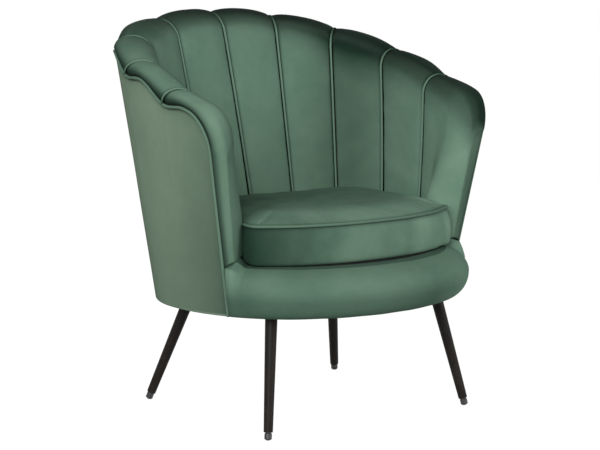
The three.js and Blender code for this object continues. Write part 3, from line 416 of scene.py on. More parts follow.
def join_tubes(tubes):
    points, faces = [], []
    for own_points, own_faces in tubes:
        start = len(points)
        points.extend(own_points)
        faces.extend(tuple(v + start for v in face) for face in own_faces)
    return points, faces


def smooth_noise(points, size, seed):
    """Soft noise from -1 to 1 at each place, with bumps of about the given size in millimetres."""
    places = np.asarray(points) / size + np.array([seed, -seed, 0.0])
    return np.array([noise.noise(place) for place in places.tolist()])


def grid_normals(grid, out):
    """Unit normals of a grid of places, turned towards the given way."""
    along = np.gradient(grid, axis=1)
    across = np.gradient(grid, axis=0)
    normals = unit_rows(np.cross(across, along))
    return normals * np.where((normals * out).sum(-1, keepdims=True) < 0, -1.0, 1.0)


# Materials


class NodeBench:
    """Places nodes in a tree, and links them or sets their values."""

    def __init__(self, tree):
        self.tree = tree
        self.column = 0

    def add(self, kind, **values):
        node = self.tree.nodes.new(kind)
        node.location = (self.column * 190, -(self.column % 3) * 160)
        self.column += 1
        for name, value in values.items():
            setattr(node, name, value)
        return node

    def link(self, start, end):
        self.tree.links.new(start, end)

    def feed(self, socket, value):
        """Links a socket to another one, or sets its value."""
        if isinstance(value, bpy.types.NodeSocket):
            self.link(value, socket)
        else:
            socket.default_value = value

    def set(self, node, **values):
        for name, value in values.items():
            self.feed(node.inputs[name.replace("_", " ")], value)

    def noise(self, place, **values):
        node = self.add("ShaderNodeTexNoise")
        self.set(node, Vector=place, **values)
        return node.outputs["Fac"]

    def spread(self, value, **ends):
        node = self.add("ShaderNodeMapRange")
        self.set(node, Value=value, **ends)
        return node.outputs["Result"]

    def math(self, operation, *terms, clamp=False):
        node = self.add("ShaderNodeMath", operation=operation, use_clamp=clamp)
        for socket, term in zip(node.inputs, terms):
            self.feed(socket, term)
        return node.outputs[0]

    def vector(self, operation, *terms):
        node = self.add("ShaderNodeVectorMath", operation=operation)
        for socket, term in zip(node.inputs, terms):
            self.feed(socket, term)
        return node

    def mix(self, share, plain, other):
        node = self.add("ShaderNodeMix", data_type="RGBA")
        for index, value in ((0, share), (6, plain), (7, other)):
            self.feed(node.inputs[index], value)
        return node.outputs[2]


def effect_bench(name, inputs):
    """A new effect group: the group, its bench, what it is given, and the place on the piece."""
    group = bpy.data.node_groups.new(name, "ShaderNodeTree")
    for label, default in inputs.items():
        kind = {float: "NodeSocketFloat", tuple: "NodeSocketColor"}[type(default)]
        if label == "Stretch":
            kind = "NodeSocketVector"
        socket = group.interface.new_socket(name=label, in_out="INPUT", socket_type=kind)
        socket.default_value = default
    for label, kind in (("Color", "NodeSocketColor"), ("Roughness", "NodeSocketFloat"),
                        ("Height", "NodeSocketFloat")):
        group.interface.new_socket(name=label, in_out="OUTPUT", socket_type=kind)
    bench = NodeBench(group)
    given = bench.add("NodeGroupInput").outputs
    place = bench.add("ShaderNodeTexCoord").outputs["Object"]
    return group, bench, given, place


def velvet_pile_group():
    """Velvet: brushed patches of the pile, its fine grain, how rough it lies, and painted shade laid into its
    colour from two mesh layers.
    """
    group, bench, given, place = effect_bench("Velvet Pile", {
        "Pile Color": (0.1, 0.2, 0.13, 1), "Crushed Color": (0.05, 0.1, 0.07, 1),
        "Patch Scale": 7.0, "Patch Strength": 0.5, "Grain Scale": 1100.0,
        "Crease_Shade": 0.0, "Crease Depth": 0.65, "Nap": 0.0, "Nap Depth": 0.93,
    })
    patches = bench.noise(place, Scale=given["Patch Scale"], Detail=4.0, Roughness=0.55, Distortion=0.6)
    streaks = bench.noise(place, Scale=46.0, Detail=3.0, Roughness=0.6)
    grain = bench.noise(place, Scale=given["Grain Scale"], Detail=2.0, Roughness=0.7)
    brushed = bench.spread(patches, From_Min=0.35, From_Max=0.68, To_Min=0.0, To_Max=1.0)
    amount = bench.math("MULTIPLY", brushed, given["Patch Strength"])
    fine = bench.math("MULTIPLY_ADD", streaks, 0.35, amount)
    speck = bench.math("MULTIPLY_ADD", grain, 0.34, fine, clamp=True)
    colour = bench.mix(speck, given["Pile Color"], given["Crushed Color"])
    # Painted shade: the shading layer darkens the colour towards a deep green
    painted_shade_share = bench.math("MULTIPLY", given["Nap"], given["Nap Depth"], clamp=True)
    shaded_colour = bench.mix(painted_shade_share, colour, (0.005, 0.018, 0.012, 1))
    # Painted shade in the grooves beside seams, darkening the colour towards near black
    creased = bench.math("MULTIPLY", given["Crease_Shade"], given["Crease Depth"], clamp=True)
    deep = bench.mix(creased, shaded_colour, (0.004, 0.008, 0.006, 1))
    rough = bench.spread(patches, To_Min=0.62, To_Max=0.86)
    relief = bench.math("MULTIPLY_ADD", streaks, 3.0, grain)
    bench.set(bench.add("NodeGroupOutput"), Color=deep, Roughness=rough, Height=relief)
    return group


def streaked_grain_group():
    """Sawn or planed wood, board and cloth: stretched streaks with pores."""
    group, bench, given, place = effect_bench("Streaked Grain", {
        "Light Color": (0.6, 0.45, 0.28, 1), "Dark Color": (0.35, 0.22, 0.12, 1),
        "Stretch": (4.0, 40.0, 40.0), "Pore Scale": 300.0,
    })
    stretched = bench.vector("MULTIPLY", place, given["Stretch"]).outputs[0]
    streaks = bench.noise(stretched, Scale=1.0, Detail=6.0, Roughness=0.6, Distortion=0.8)
    pores = bench.noise(place, Scale=given["Pore Scale"], Detail=2.0)
    blend = bench.math("MULTIPLY_ADD", pores, 0.4, streaks, clamp=True)
    colour = bench.mix(bench.spread(blend, From_Min=0.45, From_Max=0.95),
                       given["Light Color"], given["Dark Color"])
    rough = bench.spread(pores, To_Min=0.55, To_Max=0.85)
    bench.set(bench.add("NodeGroupOutput"), Color=colour, Roughness=rough, Height=blend)
    return group


def coat_texture_group():
    """Powder coat, plated steel or moulded plastic: a fine orange peel with scuffs."""
    group, bench, given, place = effect_bench("Coat Texture", {
        "Coat Color": (0.01, 0.01, 0.01, 1), "Scuff Color": (0.04, 0.035, 0.03, 1),
        "Peel Scale": 700.0, "Base Roughness": 0.4,
    })
    peel = bench.noise(place, Scale=given["Peel Scale"], Detail=2.0)
    scuff = bench.noise(place, Scale=35.0, Detail=5.0, Roughness=0.7)
    worn = bench.spread(scuff, From_Min=0.45, From_Max=0.8)
    colour = bench.mix(worn, given["Coat Color"], given["Scuff Color"])
    rough = bench.math("MULTIPLY_ADD", worn, 0.18, given["Base Roughness"])
    bench.set(bench.add("NodeGroupOutput"), Color=colour, Roughness=rough, Height=peel)
    return group


EFFECTS = {
    "Velvet Pile": velvet_pile_group,
    "Streaked Grain": streaked_grain_group,
    "Coat Texture": coat_texture_group,
}


def finish_material(name, effect_name, bump, distance, shader, **inputs):
    """A material that takes its colour, roughness and relief from an effect group."""
    material = bpy.data.materials.new(name)
    material.use_nodes = True
    tree = material.node_tree
    tree.nodes.clear()
    bench = NodeBench(tree)
    group = bpy.data.node_groups.get(effect_name) or EFFECTS[effect_name]()
    effect = bench.add("ShaderNodeGroup", node_tree=group)
    bench.set(effect, **inputs)
    relief = bench.add("ShaderNodeBump")
    bench.set(relief, Strength=bump, Distance=distance, Height=effect.outputs["Height"])
    surface = bench.add("ShaderNodeBsdfPrincipled")
    bench.set(surface, Base_Color=effect.outputs["Color"], Roughness=effect.outputs["Roughness"],
              Normal=relief.outputs["Normal"], **shader)
    bench.set(bench.add("ShaderNodeOutputMaterial"), Surface=surface.outputs["BSDF"])
    material.diffuse_color = surface.inputs["Base Color"].default_value
    return material, bench, effect, relief


def velvet(name, pile, crushed, lean=0.8, patches=0.5, nap=0.93):
    """Velvet whose short pile leans along the cloth, so it lights up or darkens with the way it lies; two mesh
    layers also paint shade into its colour.
    """
    shader = dict(Sheen_Weight=0.03, Sheen_Roughness=0.42, Sheen_Tint=(0.5, 0.8, 0.62, 1),
                  Specular_IOR_Level=0.02)
    material, bench, effect, relief = finish_material(
        name, "Velvet Pile", 0.35, 0.0004, shader,
        Pile_Color=pile, Crushed_Color=crushed, Patch_Strength=patches, Nap_Depth=nap,
    )
    # Painted shade: these two layers darken the velvet's colour, in seam grooves and where shade falls on the pile
    for layer in ("crease_shade", "nap"):
        value = bench.add("ShaderNodeAttribute", attribute_name=layer)
        bench.link(value.outputs["Fac"], effect.inputs[layer.title()])
    lie = bench.add("ShaderNodeAttribute", attribute_name="pile").outputs["Vector"]
    lean_way = bench.vector("SCALE", lie)
    lean_way.inputs["Scale"].default_value = lean
    upright = bench.add("ShaderNodeNewGeometry").outputs["Normal"]
    leaning = bench.vector("ADD", upright, lean_way.outputs[0])
    bench.set(relief, Normal=bench.vector("NORMALIZE", leaning.outputs[0]).outputs[0])
    return material


def shade_of(values, strength=1.0):
    """A colour made lighter or darker, as a shader takes it."""
    return tuple(value * strength for value in values) + (1.0,)


def colour_property(name, description, default):
    return bpy.props.FloatVectorProperty(
        name=name, description=description, subtype="COLOR", size=3, min=0, max=1, default=default,
    )


def length_property(name, description, default, low, high):
    return bpy.props.FloatProperty(
        name=name, description=description, default=default, min=low, max=high, unit="LENGTH",
    )


class ChairColours(bpy.types.PropertyGroup):
    pile: colour_property("Pile", "Velvet where the pile stands up", (0.150, 0.238, 0.172))
    crushed: colour_property("Brushed pile", "Velvet where the pile is brushed the other way",
                             (0.086, 0.158, 0.112))
    # The outside panel: the channel velvet in a warmer tone, painted lighter to stand in for how its pile catches
    # the light
    outside: colour_property("Outside panel", "Velvet on the flat outside of the tub", (0.184, 0.260, 0.186))
    leg: colour_property("Legs", "Coat on the steel legs", (0.007, 0.0055, 0.0045))
    ply: colour_property("Plywood", "Plywood of the seat frame and ribs", (0.55, 0.38, 0.21))


class ChairSizes(bpy.types.PropertyGroup):
    swell: length_property("Channel swell", "How far a channel stands out over its valleys",
                           0.012, 0.004, 0.02)
    groove: length_property("Seam groove", "Depth of the groove on each side of a cord", 0.0042, 0.0, 0.006)
    cord: length_property("Cord", "Radius of the covered cords", 0.003, 0.001, 0.005)
    flare: length_property("Arm front", "How much fuller the arm fronts are towards their feet",
                           0.038, 0.0, 0.045)
    pucker: length_property("Pucker", "Depth of the gathers beside the seams", 0.0011, 0.0, 0.004)
    crown: length_property("Cushion crown", "How far the cushion rises over its sewn edge", 0.027, 0.0, 0.05)
    border_bulge: length_property("Border bulge", "How far the front border stands out", 0.040, 0.01, 0.05)
    leg_facets: bpy.props.IntProperty(
        name="Leg roundness", description="Faces round a leg", default=40, min=12, max=96,
    )


def sizes():
    return bpy.context.scene.armchair_sizes


def colours():
    return bpy.context.scene.armchair_colours


# Velvets: lit and shaded copies of one velvet, painted lighter or darker, with how far the pile leans and how
# strong the patches and the painted shade are
VELVETS = {
    "velvet_channels": {},
    "velvet_border": dict(lean=0.35, nap=0.75),
    # Painted highlight: the cushion's copy of the velvet is painted lighter
    "velvet_cushion": dict(painted_lightness=1.35, lean=0.35, nap=0.95),
    # Painted shade: the cords' copy of the velvet is painted darker
    "velvet_cords": dict(painted_lightness=0.85, lean=0.0, patches=0.2),
}


def plain_finish(name):
    """A plain finish: its effect, its relief's strength and depth, the shader's values and the effect's."""
    own = colours()
    wood, coat = "Streaked Grain", "Coat Texture"
    return {
        "plywood": (wood, 0.25, 0.0004, dict(Specular_IOR_Level=0.3), dict(
            Light_Color=shade_of(own.ply), Dark_Color=shade_of(own.ply, 0.62), Stretch=(6, 60, 260))),
        "timber": (wood, 0.3, 0.0005, dict(Specular_IOR_Level=0.3), dict(
            Light_Color=(0.6, 0.43, 0.25, 1), Dark_Color=(0.4, 0.25, 0.12, 1), Stretch=(50, 50, 5))),
        "fibreboard": (wood, 0.2, 0.0003, dict(Specular_IOR_Level=0.2), dict(
            Light_Color=(0.28, 0.17, 0.09, 1), Dark_Color=(0.2, 0.12, 0.06, 1), Stretch=(90, 90, 90))),
        "webbing": (wood, 0.6, 0.0006, dict(Specular_IOR_Level=0.15), dict(
            Light_Color=(0.035, 0.035, 0.04, 1), Dark_Color=(0.012, 0.012, 0.014, 1),
            Stretch=(700, 700, 60), Pore_Scale=900.0)),
        "foam": (wood, 0.7, 0.0008, dict(Specular_IOR_Level=0.06), dict(
            Light_Color=(0.045, 0.048, 0.046, 1), Dark_Color=(0.026, 0.028, 0.027, 1),
            Stretch=(220, 220, 220), Pore_Scale=800.0)),
        "dust_cloth": (wood, 0.5, 0.0003, dict(Specular_IOR_Level=0.1), dict(
            Light_Color=(0.018, 0.018, 0.019, 1), Dark_Color=(0.009, 0.009, 0.01, 1),
            Stretch=(420, 420, 420), Pore_Scale=1500.0)),
        "leg_coat": (coat, 0.12, 0.0002, dict(Specular_IOR_Level=0.1), dict(
            Coat_Color=shade_of(own.leg), Scuff_Color=shade_of(own.leg, 2.4), Base_Roughness=0.5)),
        "glide_plastic": (coat, 0.1, 0.0002, dict(Specular_IOR_Level=0.4), dict(
            Coat_Color=(0.008, 0.008, 0.008, 1), Scuff_Color=(0.03, 0.03, 0.03, 1),
            Peel_Scale=1200.0, Base_Roughness=0.4)),
        "zinc": (coat, 0.1, 0.0001, dict(Metallic=1.0), dict(
            Coat_Color=(0.5, 0.51, 0.53, 1), Scuff_Color=(0.36, 0.36, 0.37, 1),
            Peel_Scale=1500.0, Base_Roughness=0.3)),
    }[name]


def chair_material(name):
    """The chair's finishes, each made when it is first wanted."""
    label = f"{name}_finish"
    found = bpy.data.materials.get(label)
    if found:
        return found
    own = colours()
    # A lit copy of the velvet: the outside panel is painted lighter
    if name == "velvet_outside":
        return velvet(label, shade_of(own.outside), shade_of(own.outside, 0.72), patches=0.3)
    if name in VELVETS:
        values = dict(VELVETS[name])
        pile = shade_of(own.pile, values.pop("painted_lightness", 1.0))
        return velvet(label, pile, shade_of(own.crushed), **values)
    effect, bump, distance, shader, inputs = plain_finish(name)
    return finish_material(label, effect, bump, distance, shader, **inputs)[0]


# Channel pads

ROLL_ROWS, REST_ROWS, FLAP_ROWS = 16, 46, 12
# Widths of the groove and of the painted shade along a seam, and how far the cloth's unevenness reaches
GROOVE_WIDTH, CREASE_SHADE_WIDTH, CREST_REACH, CORD_CREASE_SHADE_WIDTH, CORD_CREASE_SHADE_REACH = 5.0, 5.5, 25.0, 3.0, 20.0
GATHER_START, GATHER_REACH, FLAP_GATHER_REACH, SLACK_START, SLACK_DEPTH = 4.0, 14.0, 22.0, 25.0, 1.0
# Size of each noise in millimetres, and its seed
GATHER, FINE_GATHER, SLACK, FLAP_GATHER = (17.0, 3.7), (8.0, 9.1), (90.0, 1.3), (14.0, 5.2)
# Ways in which the rim faces where its painted shade is darkest, and how far down that shade reaches
SHADE_BACK, SHADE_CORNER = np.array([0.4, 0.917]), np.array([0.88, 0.475])
SHADE_REACH, SHADE_BACK_REACH, SHADE_CORNER_REACH, SHADE_FRONT_REACH = 30.0, 12.0, 78.0, 26.0
OVER_RIM_REACH, OVER_RIM_END = 34.0, 80.0


def pad_columns(index):
    """Stations across a channel, closer together beside its valleys and round an arm front."""
    if index in (0, CHANNELS - 1):
        sign = -1 if index == 0 else 1
        length = CHANNEL_SHARE * HALF_RIM
        edge = ROLL * (1 - np.cos(np.linspace(0, math.pi / 2, 17)))
        rest = ROLL + (length - SEWN - ROLL) * np.sin(np.linspace(0, math.pi / 2, 23)[1:])
        side = sign * (1 - np.concatenate([edge, rest]) / HALF_RIM)
        return side if index == 0 else side[::-1]
    clear = SEWN / HALF_RIM
    share = (1 - np.cos(np.linspace(0, math.pi, 33))) / 2
    return index * CHANNEL_SHARE - 1 + clear + (CHANNEL_SHARE - 2 * clear) * share


def seam_gap(side):
    """Distance along the rim to the nearest valley, in millimetres, and far away past the last one."""
    place = channel_place(side)
    near = np.minimum(place, 1 - place) * CHANNEL_SHARE * HALF_RIM
    return np.where(np.abs(side) > 1 - CHANNEL_SHARE / 2, 1000.0, near)


def rim_shading(side, depth):
    """Painted shade on a channel: how dark it is below the rim at the back and right, and at the left arm front.
    """
    outward = RIM_LINE.normal((side + 1) / 2)
    back = np.clip(outward @ SHADE_BACK, 0, 1)
    corner = np.clip(outward @ SHADE_CORNER, 0, 1)
    reach = SHADE_REACH + SHADE_BACK_REACH * back**4 + SHADE_CORNER_REACH * corner**4
    front = fading(behind_of(side), SHADE_FRONT_REACH) * np.clip(-outward[..., 0], 0, 1)
    fall = np.clip(1.6 * back, 0, 1) * np.clip(1 - depth / reach, 0, 1) ** 1.5
    return 0.95 * fall + 0.5 * corner**12 + 0.36 * front


def pad_depths(side):
    """Depth of each row of a channel, and of its first row on the rim's edge."""
    behind = behind_of(side)
    start = corner_drop(behind)
    foot = rim_height(side) - pad_foot_at(behind)
    roll = 1 - np.cos(np.linspace(0, math.pi / 2, ROLL_ROWS + 1))
    rest = np.linspace(0, 1, REST_ROWS + 1)[1:]
    top = start[:, None] + ROLL * roll[None, :]
    depth = np.concatenate([top, top[:, -1:] + (foot[:, None] - top[:, -1:]) * rest[None, :]], 1)
    return depth, start


def channel_face(sides, depth, below):
    """The seat side of a channel, its back, and the way its pile lies, which is up the channel."""
    own = sizes()
    face = inner_skin(sides, depth, 0.0, own.swell / MM, own.flare / MM)
    back = inner_skin(sides, depth, PAD_THICK)
    pile = -np.gradient(face, axis=1)
    # The valleys are pulled down, and gathered beside the cords
    gap = seam_gap(sides)
    flat = face.reshape(-1, 3)
    gather = smooth_noise(flat, *GATHER).reshape(gap.shape)
    gather += 0.5 * smooth_noise(flat, *FINE_GATHER).reshape(gap.shape)
    slack = smooth_noise(flat, *SLACK).reshape(gap.shape)
    push = -own.groove / MM * fading(gap, GROOVE_WIDTH) * (1 - 0.75 * fading(below, CREST_REACH))
    push += own.pucker / MM * gather * np.exp(-gap / GATHER_REACH) * np.clip(gap / GATHER_START, 0, 1)
    push += SLACK_DEPTH * slack * np.clip(gap / SLACK_START, 0, 1)
    return face + grid_normals(face, face - back) * push[..., None], back, pile


def pad_edge(index, columns, rows):
    """The points along a pad's outer edge: over the rim, and down the arm front of a last channel."""
    edge = [i * (rows + 1) for i in range(columns + 1)]
    if index == 0:
        return list(range(rows, 0, -1)) + edge
    if index == CHANNELS - 1:
        return edge + [columns * (rows + 1) + j for j in range(1, rows + 1)]
    return edge


def channel_pad(index, node):
    own = sizes()
    side = pad_columns(index)
    columns, rows = len(side) - 1, ROLL_ROWS + REST_ROWS
    depth, start = pad_depths(side)
    below = depth - start[:, None]
    sides = np.repeat(side[:, None], rows + 1, 1)
    face, back, pile = channel_face(sides, depth, below)

    quads = grid_quads(columns, rows)
    face_points, back_points, piles = [list(grid.reshape(-1, 3)) for grid in (face, back, pile)]
    # Painted shade under the rim, and painted shade in the grooves beside the seams
    shadings = list(rim_shading(sides, below).ravel())
    light = [1.0] * len(shadings)
    creases = list(fading(seam_gap(sides), CREASE_SHADE_WIDTH).ravel())
    edge = pad_edge(index, columns, rows)
    edge_side = sides.reshape(-1)[edge]
    edge_depth = depth.reshape(-1)[edge]
    gap = seam_gap(edge_side)
    from_front = 0.75 + 0.25 * eased(behind_of(edge_side), 15.0, 75.0)
    previous = edge
    before = np.array([face_points[v] for v in edge])
    for k in range(1, FLAP_ROWS + 1):
        share = (1 - math.cos(math.pi / 2 * k / FLAP_ROWS) + k / FLAP_ROWS) / 2
        low = edge_depth + mitre_fall(edge_side, edge_depth) * share
        ring = outer_skin(edge_side, low, share)
        under = outer_skin(edge_side, low, share, FLAP_THICK)
        gather = smooth_noise(ring, *FLAP_GATHER)
        lift = -own.groove / MM * fading(gap, GROOVE_WIDTH) * (0.25 + 0.75 * eased(share, 0.0, 0.5))
        lift += own.pucker / MM * gather * np.exp(-gap / FLAP_GATHER_REACH)
        ring = ring + unit_rows(ring - under) * lift[:, None]
        current = list(range(len(face_points), len(face_points) + len(edge)))
        face_points.extend(ring)
        back_points.extend(under)
        piles.extend(ring - before)
        # Painted shade on the flap, deepening towards the piping, and in the grooves beside the seams and the
        # piping
        shadings.extend(0.85 * eased(share, 0.1, 0.65) * from_front)
        light.extend(1 - 0.9 * eased(edge_depth, 40.0, 85.0))
        from_cord = (1 - share) * CORD_CREASE_SHADE_REACH
        creases.extend(np.maximum(fading(gap, CREASE_SHADE_WIDTH), fading(from_cord, CORD_CREASE_SHADE_WIDTH)))
        before = ring
        quads += [(previous[i + 1], previous[i], current[i], current[i + 1]) for i in range(len(edge) - 1)]
        previous = current
    # The pile lies flatter where it is brushed over the rim: the normals lean further there, and the painted shade
    # from the pile's way deepens
    over_rim = fading(np.minimum(below, OVER_RIM_END), OVER_RIM_REACH).ravel()
    strength = 1 + 0.9 * np.concatenate([over_rim, np.ones(len(piles) - over_rim.size)])
    piles = unit_rows(np.array(piles)) * strength[:, None]
    # Painted shade where the pile points back, to the right or down
    nap = np.maximum(np.array(shadings), piles @ SHADE_WAY * np.array(light))
    points = np.array(face_points + back_points)
    pad = mesh_object(f"{node}_velvet", points, close_sheet(len(face_points), quads),
                      chair_material("velvet_channels"), pile=np.concatenate([piles, piles]),
                      crease_shade=creases + creases, nap=np.concatenate([nap, nap]))
    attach(pad, "frame")
    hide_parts(node)


class ARMCHAIR_OT_channel_pads(bpy.types.Operator):
    """Makes the ten channel pads, each swollen between its valleys and folded over the rim"""

    bl_idname = "armchair.channel_pads"
    bl_label = "Channel Pads"

    def execute(self, context):
        for index in range(CHANNELS):
            half = CHANNELS // 2
            order = half - index if index < half else index + 1 - half
            channel_pad(index, f"channel_pad_{'left' if index < half else 'right'}_{order}")
        return {"FINISHED"}


# Cords in the valleys and round the outside

VALLEY_STATIONS, OVER_RIM_STATIONS, ARM_STATIONS = 39, 49, 59
VALLEY_CORD_SHARE, OVER_RIM_CORD_SHARE = 0.8, 0.68


def rim_stations():
    return np.concatenate([pad_columns(i)[(0 if i == 0 else 1):] for i in range(CHANNELS)])


def piping_route():
    """The outer piping, up one arm front, under the rolled rim and down the other arm front."""
    moved, height = piping_place(rim_stations(), PIPING_REACH)
    along = wall_point(moved, height, np.full_like(height, -1.0))

    def front(sign):
        top = rim_height(np.array(float(sign))) - ARM_DROP
        height = np.linspace(UNDERSIDE + 0.5, top, ARM_STATIONS + 1)[:-1]
        place = np.full_like(height, sign * (1 - (FRONT_DROP + PIPING_REACH) / HALF_RIM))
        return wall_point(place, height, np.full_like(height, -1.0))

    return np.concatenate([front(-1), along, front(1)[::-1]])


def valley_route(side):
    """A cord's way up a valley, over the rim and down to the piping."""
    place = np.array(side)
    outward = RIM_LINE.normal((place + 1) / 2)
    out = np.array([outward[0], outward[1], 0.0])
    foot = rim_height(place) - PAD_FOOT
    points = []
    for depth in np.linspace(foot, ROLL, VALLEY_STATIONS + 1)[:-1]:
        points.append(inner_skin(place, np.array(depth)) - out * VALLEY_LIFT)
    for turn in np.linspace(-math.pi / 2, math.pi / 2, OVER_RIM_STATIONS):
        fall = 1 - math.cos(turn)
        toward = out * math.sin(turn) + np.array([0, 0, math.cos(turn)])
        on = (inner_skin(place, np.array(ROLL * fall)) if turn < 0
              else outer_skin(place, np.array(0.0), np.array(fall)))
        lift = VALLEY_LIFT - 0.4 * (1 + math.sin(turn)) - 0.6 * max(0.0, math.sin(turn))
        points.append(on + toward * lift)
    _, height = piping_place(place, PIPING_REACH)
    points.append(wall_point(place, height, np.array(-2.0)))
    return np.array(points)


def valley_radii(radius):
    """Radius of a valley cord at each point of its way: thinner where it is pulled over the rim."""
    half = OVER_RIM_STATIONS // 2
    up = np.full(VALLEY_STATIONS, VALLEY_CORD_SHARE)
    thinning = np.linspace(VALLEY_CORD_SHARE, OVER_RIM_CORD_SHARE, half + 2)
    return radius * np.concatenate([up, thinning, np.full(half, OVER_RIM_CORD_SHARE)])


class ARMCHAIR_OT_seam_piping(bpy.types.Operator):
    """Makes the covered cords: one in each valley and one round the outside under the rim"""

    bl_idname = "armchair.seam_piping"
    bl_label = "Seam Piping"

    def execute(self, context):
        radius = sizes().cord / MM
        valleys = [valley_route(i * CHANNEL_SHARE - 1) for i in range(1, CHANNELS)]
        tubes = [tube(piping_route(), radius)] + [tube(route, valley_radii(radius)) for route in valleys]
        points, faces = join_tubes(tubes)
        # Painted shade on the cords: even along the piping, and by the way each valley cord runs
        nap = [np.full(len(tubes[0][0]), 0.25)]
        for route in valleys:
            nap.append(np.repeat(0.15 + unit_rows(np.gradient(route, axis=0)) @ SHADE_WAY, CORD_SIDES))
        piping = mesh_object("seam_piping_cords", points, faces, chair_material("velvet_cords"),
                             nap=np.concatenate(nap))
        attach(piping, "frame")
        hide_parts("seam_piping")
        return {"FINISHED"}


# Outside cover

COVER_ROWS, HEM_ROWS = 60, 8
# How round the hem turns, how far it hangs under the frame and reaches in, and how thick the cloth is
HEM_ROUND, HEM_BELOW, HEM_REACH, COVER_THICK = 5.0, 0.6, 20.0, 1.6
# Width of the groove and of the painted shade along the piping, and where the gathers start and how far they reach
COVER_GROOVE_WIDTH, COVER_CREASE_SHADE_WIDTH, COVER_GATHER_START, COVER_GATHER_REACH = 3.4, 3.6, 3.0, 12.0
COVER_SLACK, COVER_GATHER, COVER_SLACK_DEPTH = (70.0, 7.7), (11.0, 2.9), 0.8
# How far the painted shade reaches down from the piping and back from the arm fronts
COVER_SHADE_PIPING_REACH, COVER_SHADE_FRONT_REACH = 14.0, 130.0


class ARMCHAIR_OT_outside_cover(bpy.types.Operator):
    """Makes the flat velvet panel round the outside of the tub, gathered under the piping"""

    bl_idname = "armchair.outside_cover"
    bl_label = "Outside Cover"

    def execute(self, context):
        own = sizes()
        side = rim_stations()
        moved, top = piping_place(side, PIPING_REACH + own.cord / MM * 0.6)
        bottom = UNDERSIDE + HEM_ROUND
        down = np.linspace(0, 1, COVER_ROWS + 1) ** 1.3
        height = top[:, None] + (bottom - top[:, None]) * down[None, :]
        sides = np.repeat(moved[:, None], COVER_ROWS + 1, 1)
        face = wall_point(sides, height, np.zeros_like(height))
        turn = np.linspace(0, math.pi / 2, HEM_ROWS + 1)[1:]
        hem_height = np.append(bottom - (HEM_ROUND + HEM_BELOW) * np.sin(turn), UNDERSIDE - HEM_BELOW)
        hem_inset = np.append(HEM_ROUND * (1 - np.cos(turn)), HEM_REACH)
        hem_side = np.repeat(moved[:, None], HEM_ROWS + 1, 1)
        hem = wall_point(hem_side, np.tile(hem_height, (len(side), 1)), np.tile(hem_inset, (len(side), 1)))
        face = np.concatenate([face, hem], 1)
        out = wall_point(sides[:, :1], height[:, :1], np.full_like(height[:, :1], -10.0)) - face[:, :1]
        normals = grid_normals(face, np.broadcast_to(out, face.shape))
        upright = np.s_[:, : COVER_ROWS + 1]
        flat = face[upright].reshape(-1, 3)
        below = top[:, None] - height
        beside = behind_of(moved)[:, None] - FRONT_DROP
        near = np.minimum(below, beside)
        slack = smooth_noise(flat * np.array([1.0, 1.0, 0.35]), *COVER_SLACK).reshape(near.shape)
        gather = smooth_noise(flat * np.array([1.0, 1.0, 0.25]), *COVER_GATHER).reshape(near.shape)
        gathered = np.exp(-near / COVER_GATHER_REACH) * np.clip(near / COVER_GATHER_START, 0, 1)
        push = COVER_SLACK_DEPTH * slack * np.sin(np.pi * down)[None, :]
        push += own.pucker / MM * gather * gathered
        push -= own.groove / MM * fading(near, COVER_GROOVE_WIDTH)
        face[upright] += normals[upright] * push[..., None]
        back = face - normals * COVER_THICK
        points = np.concatenate([face.reshape(-1, 3), back.reshape(-1, 3)])
        lie = unit_rows(-np.gradient(face, axis=1).reshape(-1, 3))
        # Painted shade along the piping seam and the arm fronts
        crease_shade = np.zeros(face.shape[:2])
        crease_shade[upright] = fading(near, COVER_CREASE_SHADE_WIDTH)
        # Painted shade: darker towards the hem, under the piping and near the arm fronts, and even on the hem
        nap = np.full(face.shape[:2], 0.3)
        nap[upright] = 0.28 * down[None, :] + 0.3 * np.exp(-near / COVER_SHADE_PIPING_REACH)
        nap[upright] += 0.38 * fading(beside, COVER_SHADE_FRONT_REACH)
        faces = close_sheet(nap.size, grid_quads(face.shape[0] - 1, face.shape[1] - 1))
        cover = mesh_object("outside_cover_panel", points, faces, chair_material("velvet_outside"),
                            pile=np.concatenate([lie, lie]), crease_shade=np.tile(crease_shade.ravel(), 2),
                            nap=np.tile(nap.ravel(), 2))
        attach(cover, "frame")
        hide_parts("outside_cover")
        return {"FINISHED"}


# Front border

# Stations across the front, rows round the face and the top, and the row from which the inner side is painted in
# full shade
BORDER_STATIONS, BORDER_FACE_ROWS, BORDER_TOP_ROWS, BORDER_SHADE_ROWS = 221, 16, 32, 44
BORDER_SLACK, BORDER_GATHER, BORDER_SLACK_DEPTH = (65.0, 4.4), (13.0, 8.1), 1.1
# How far the gathers and the easing reach from the ends, and the width of the painted shade at the ends
BORDER_GATHER_REACH, BORDER_EASE_REACH, BORDER_CREASE_SHADE_WIDTH = 14.0, 12.0, 3.0
# Height where the border's painted shade starts to deepen, how far down it deepens, and across the front where it
# fades out
BORDER_SHADE_TOP, BORDER_SHADE_FALL, BORDER_LIGHT_START, BORDER_LIGHT_END = 326.0, 56.0, 90.0, 230.0


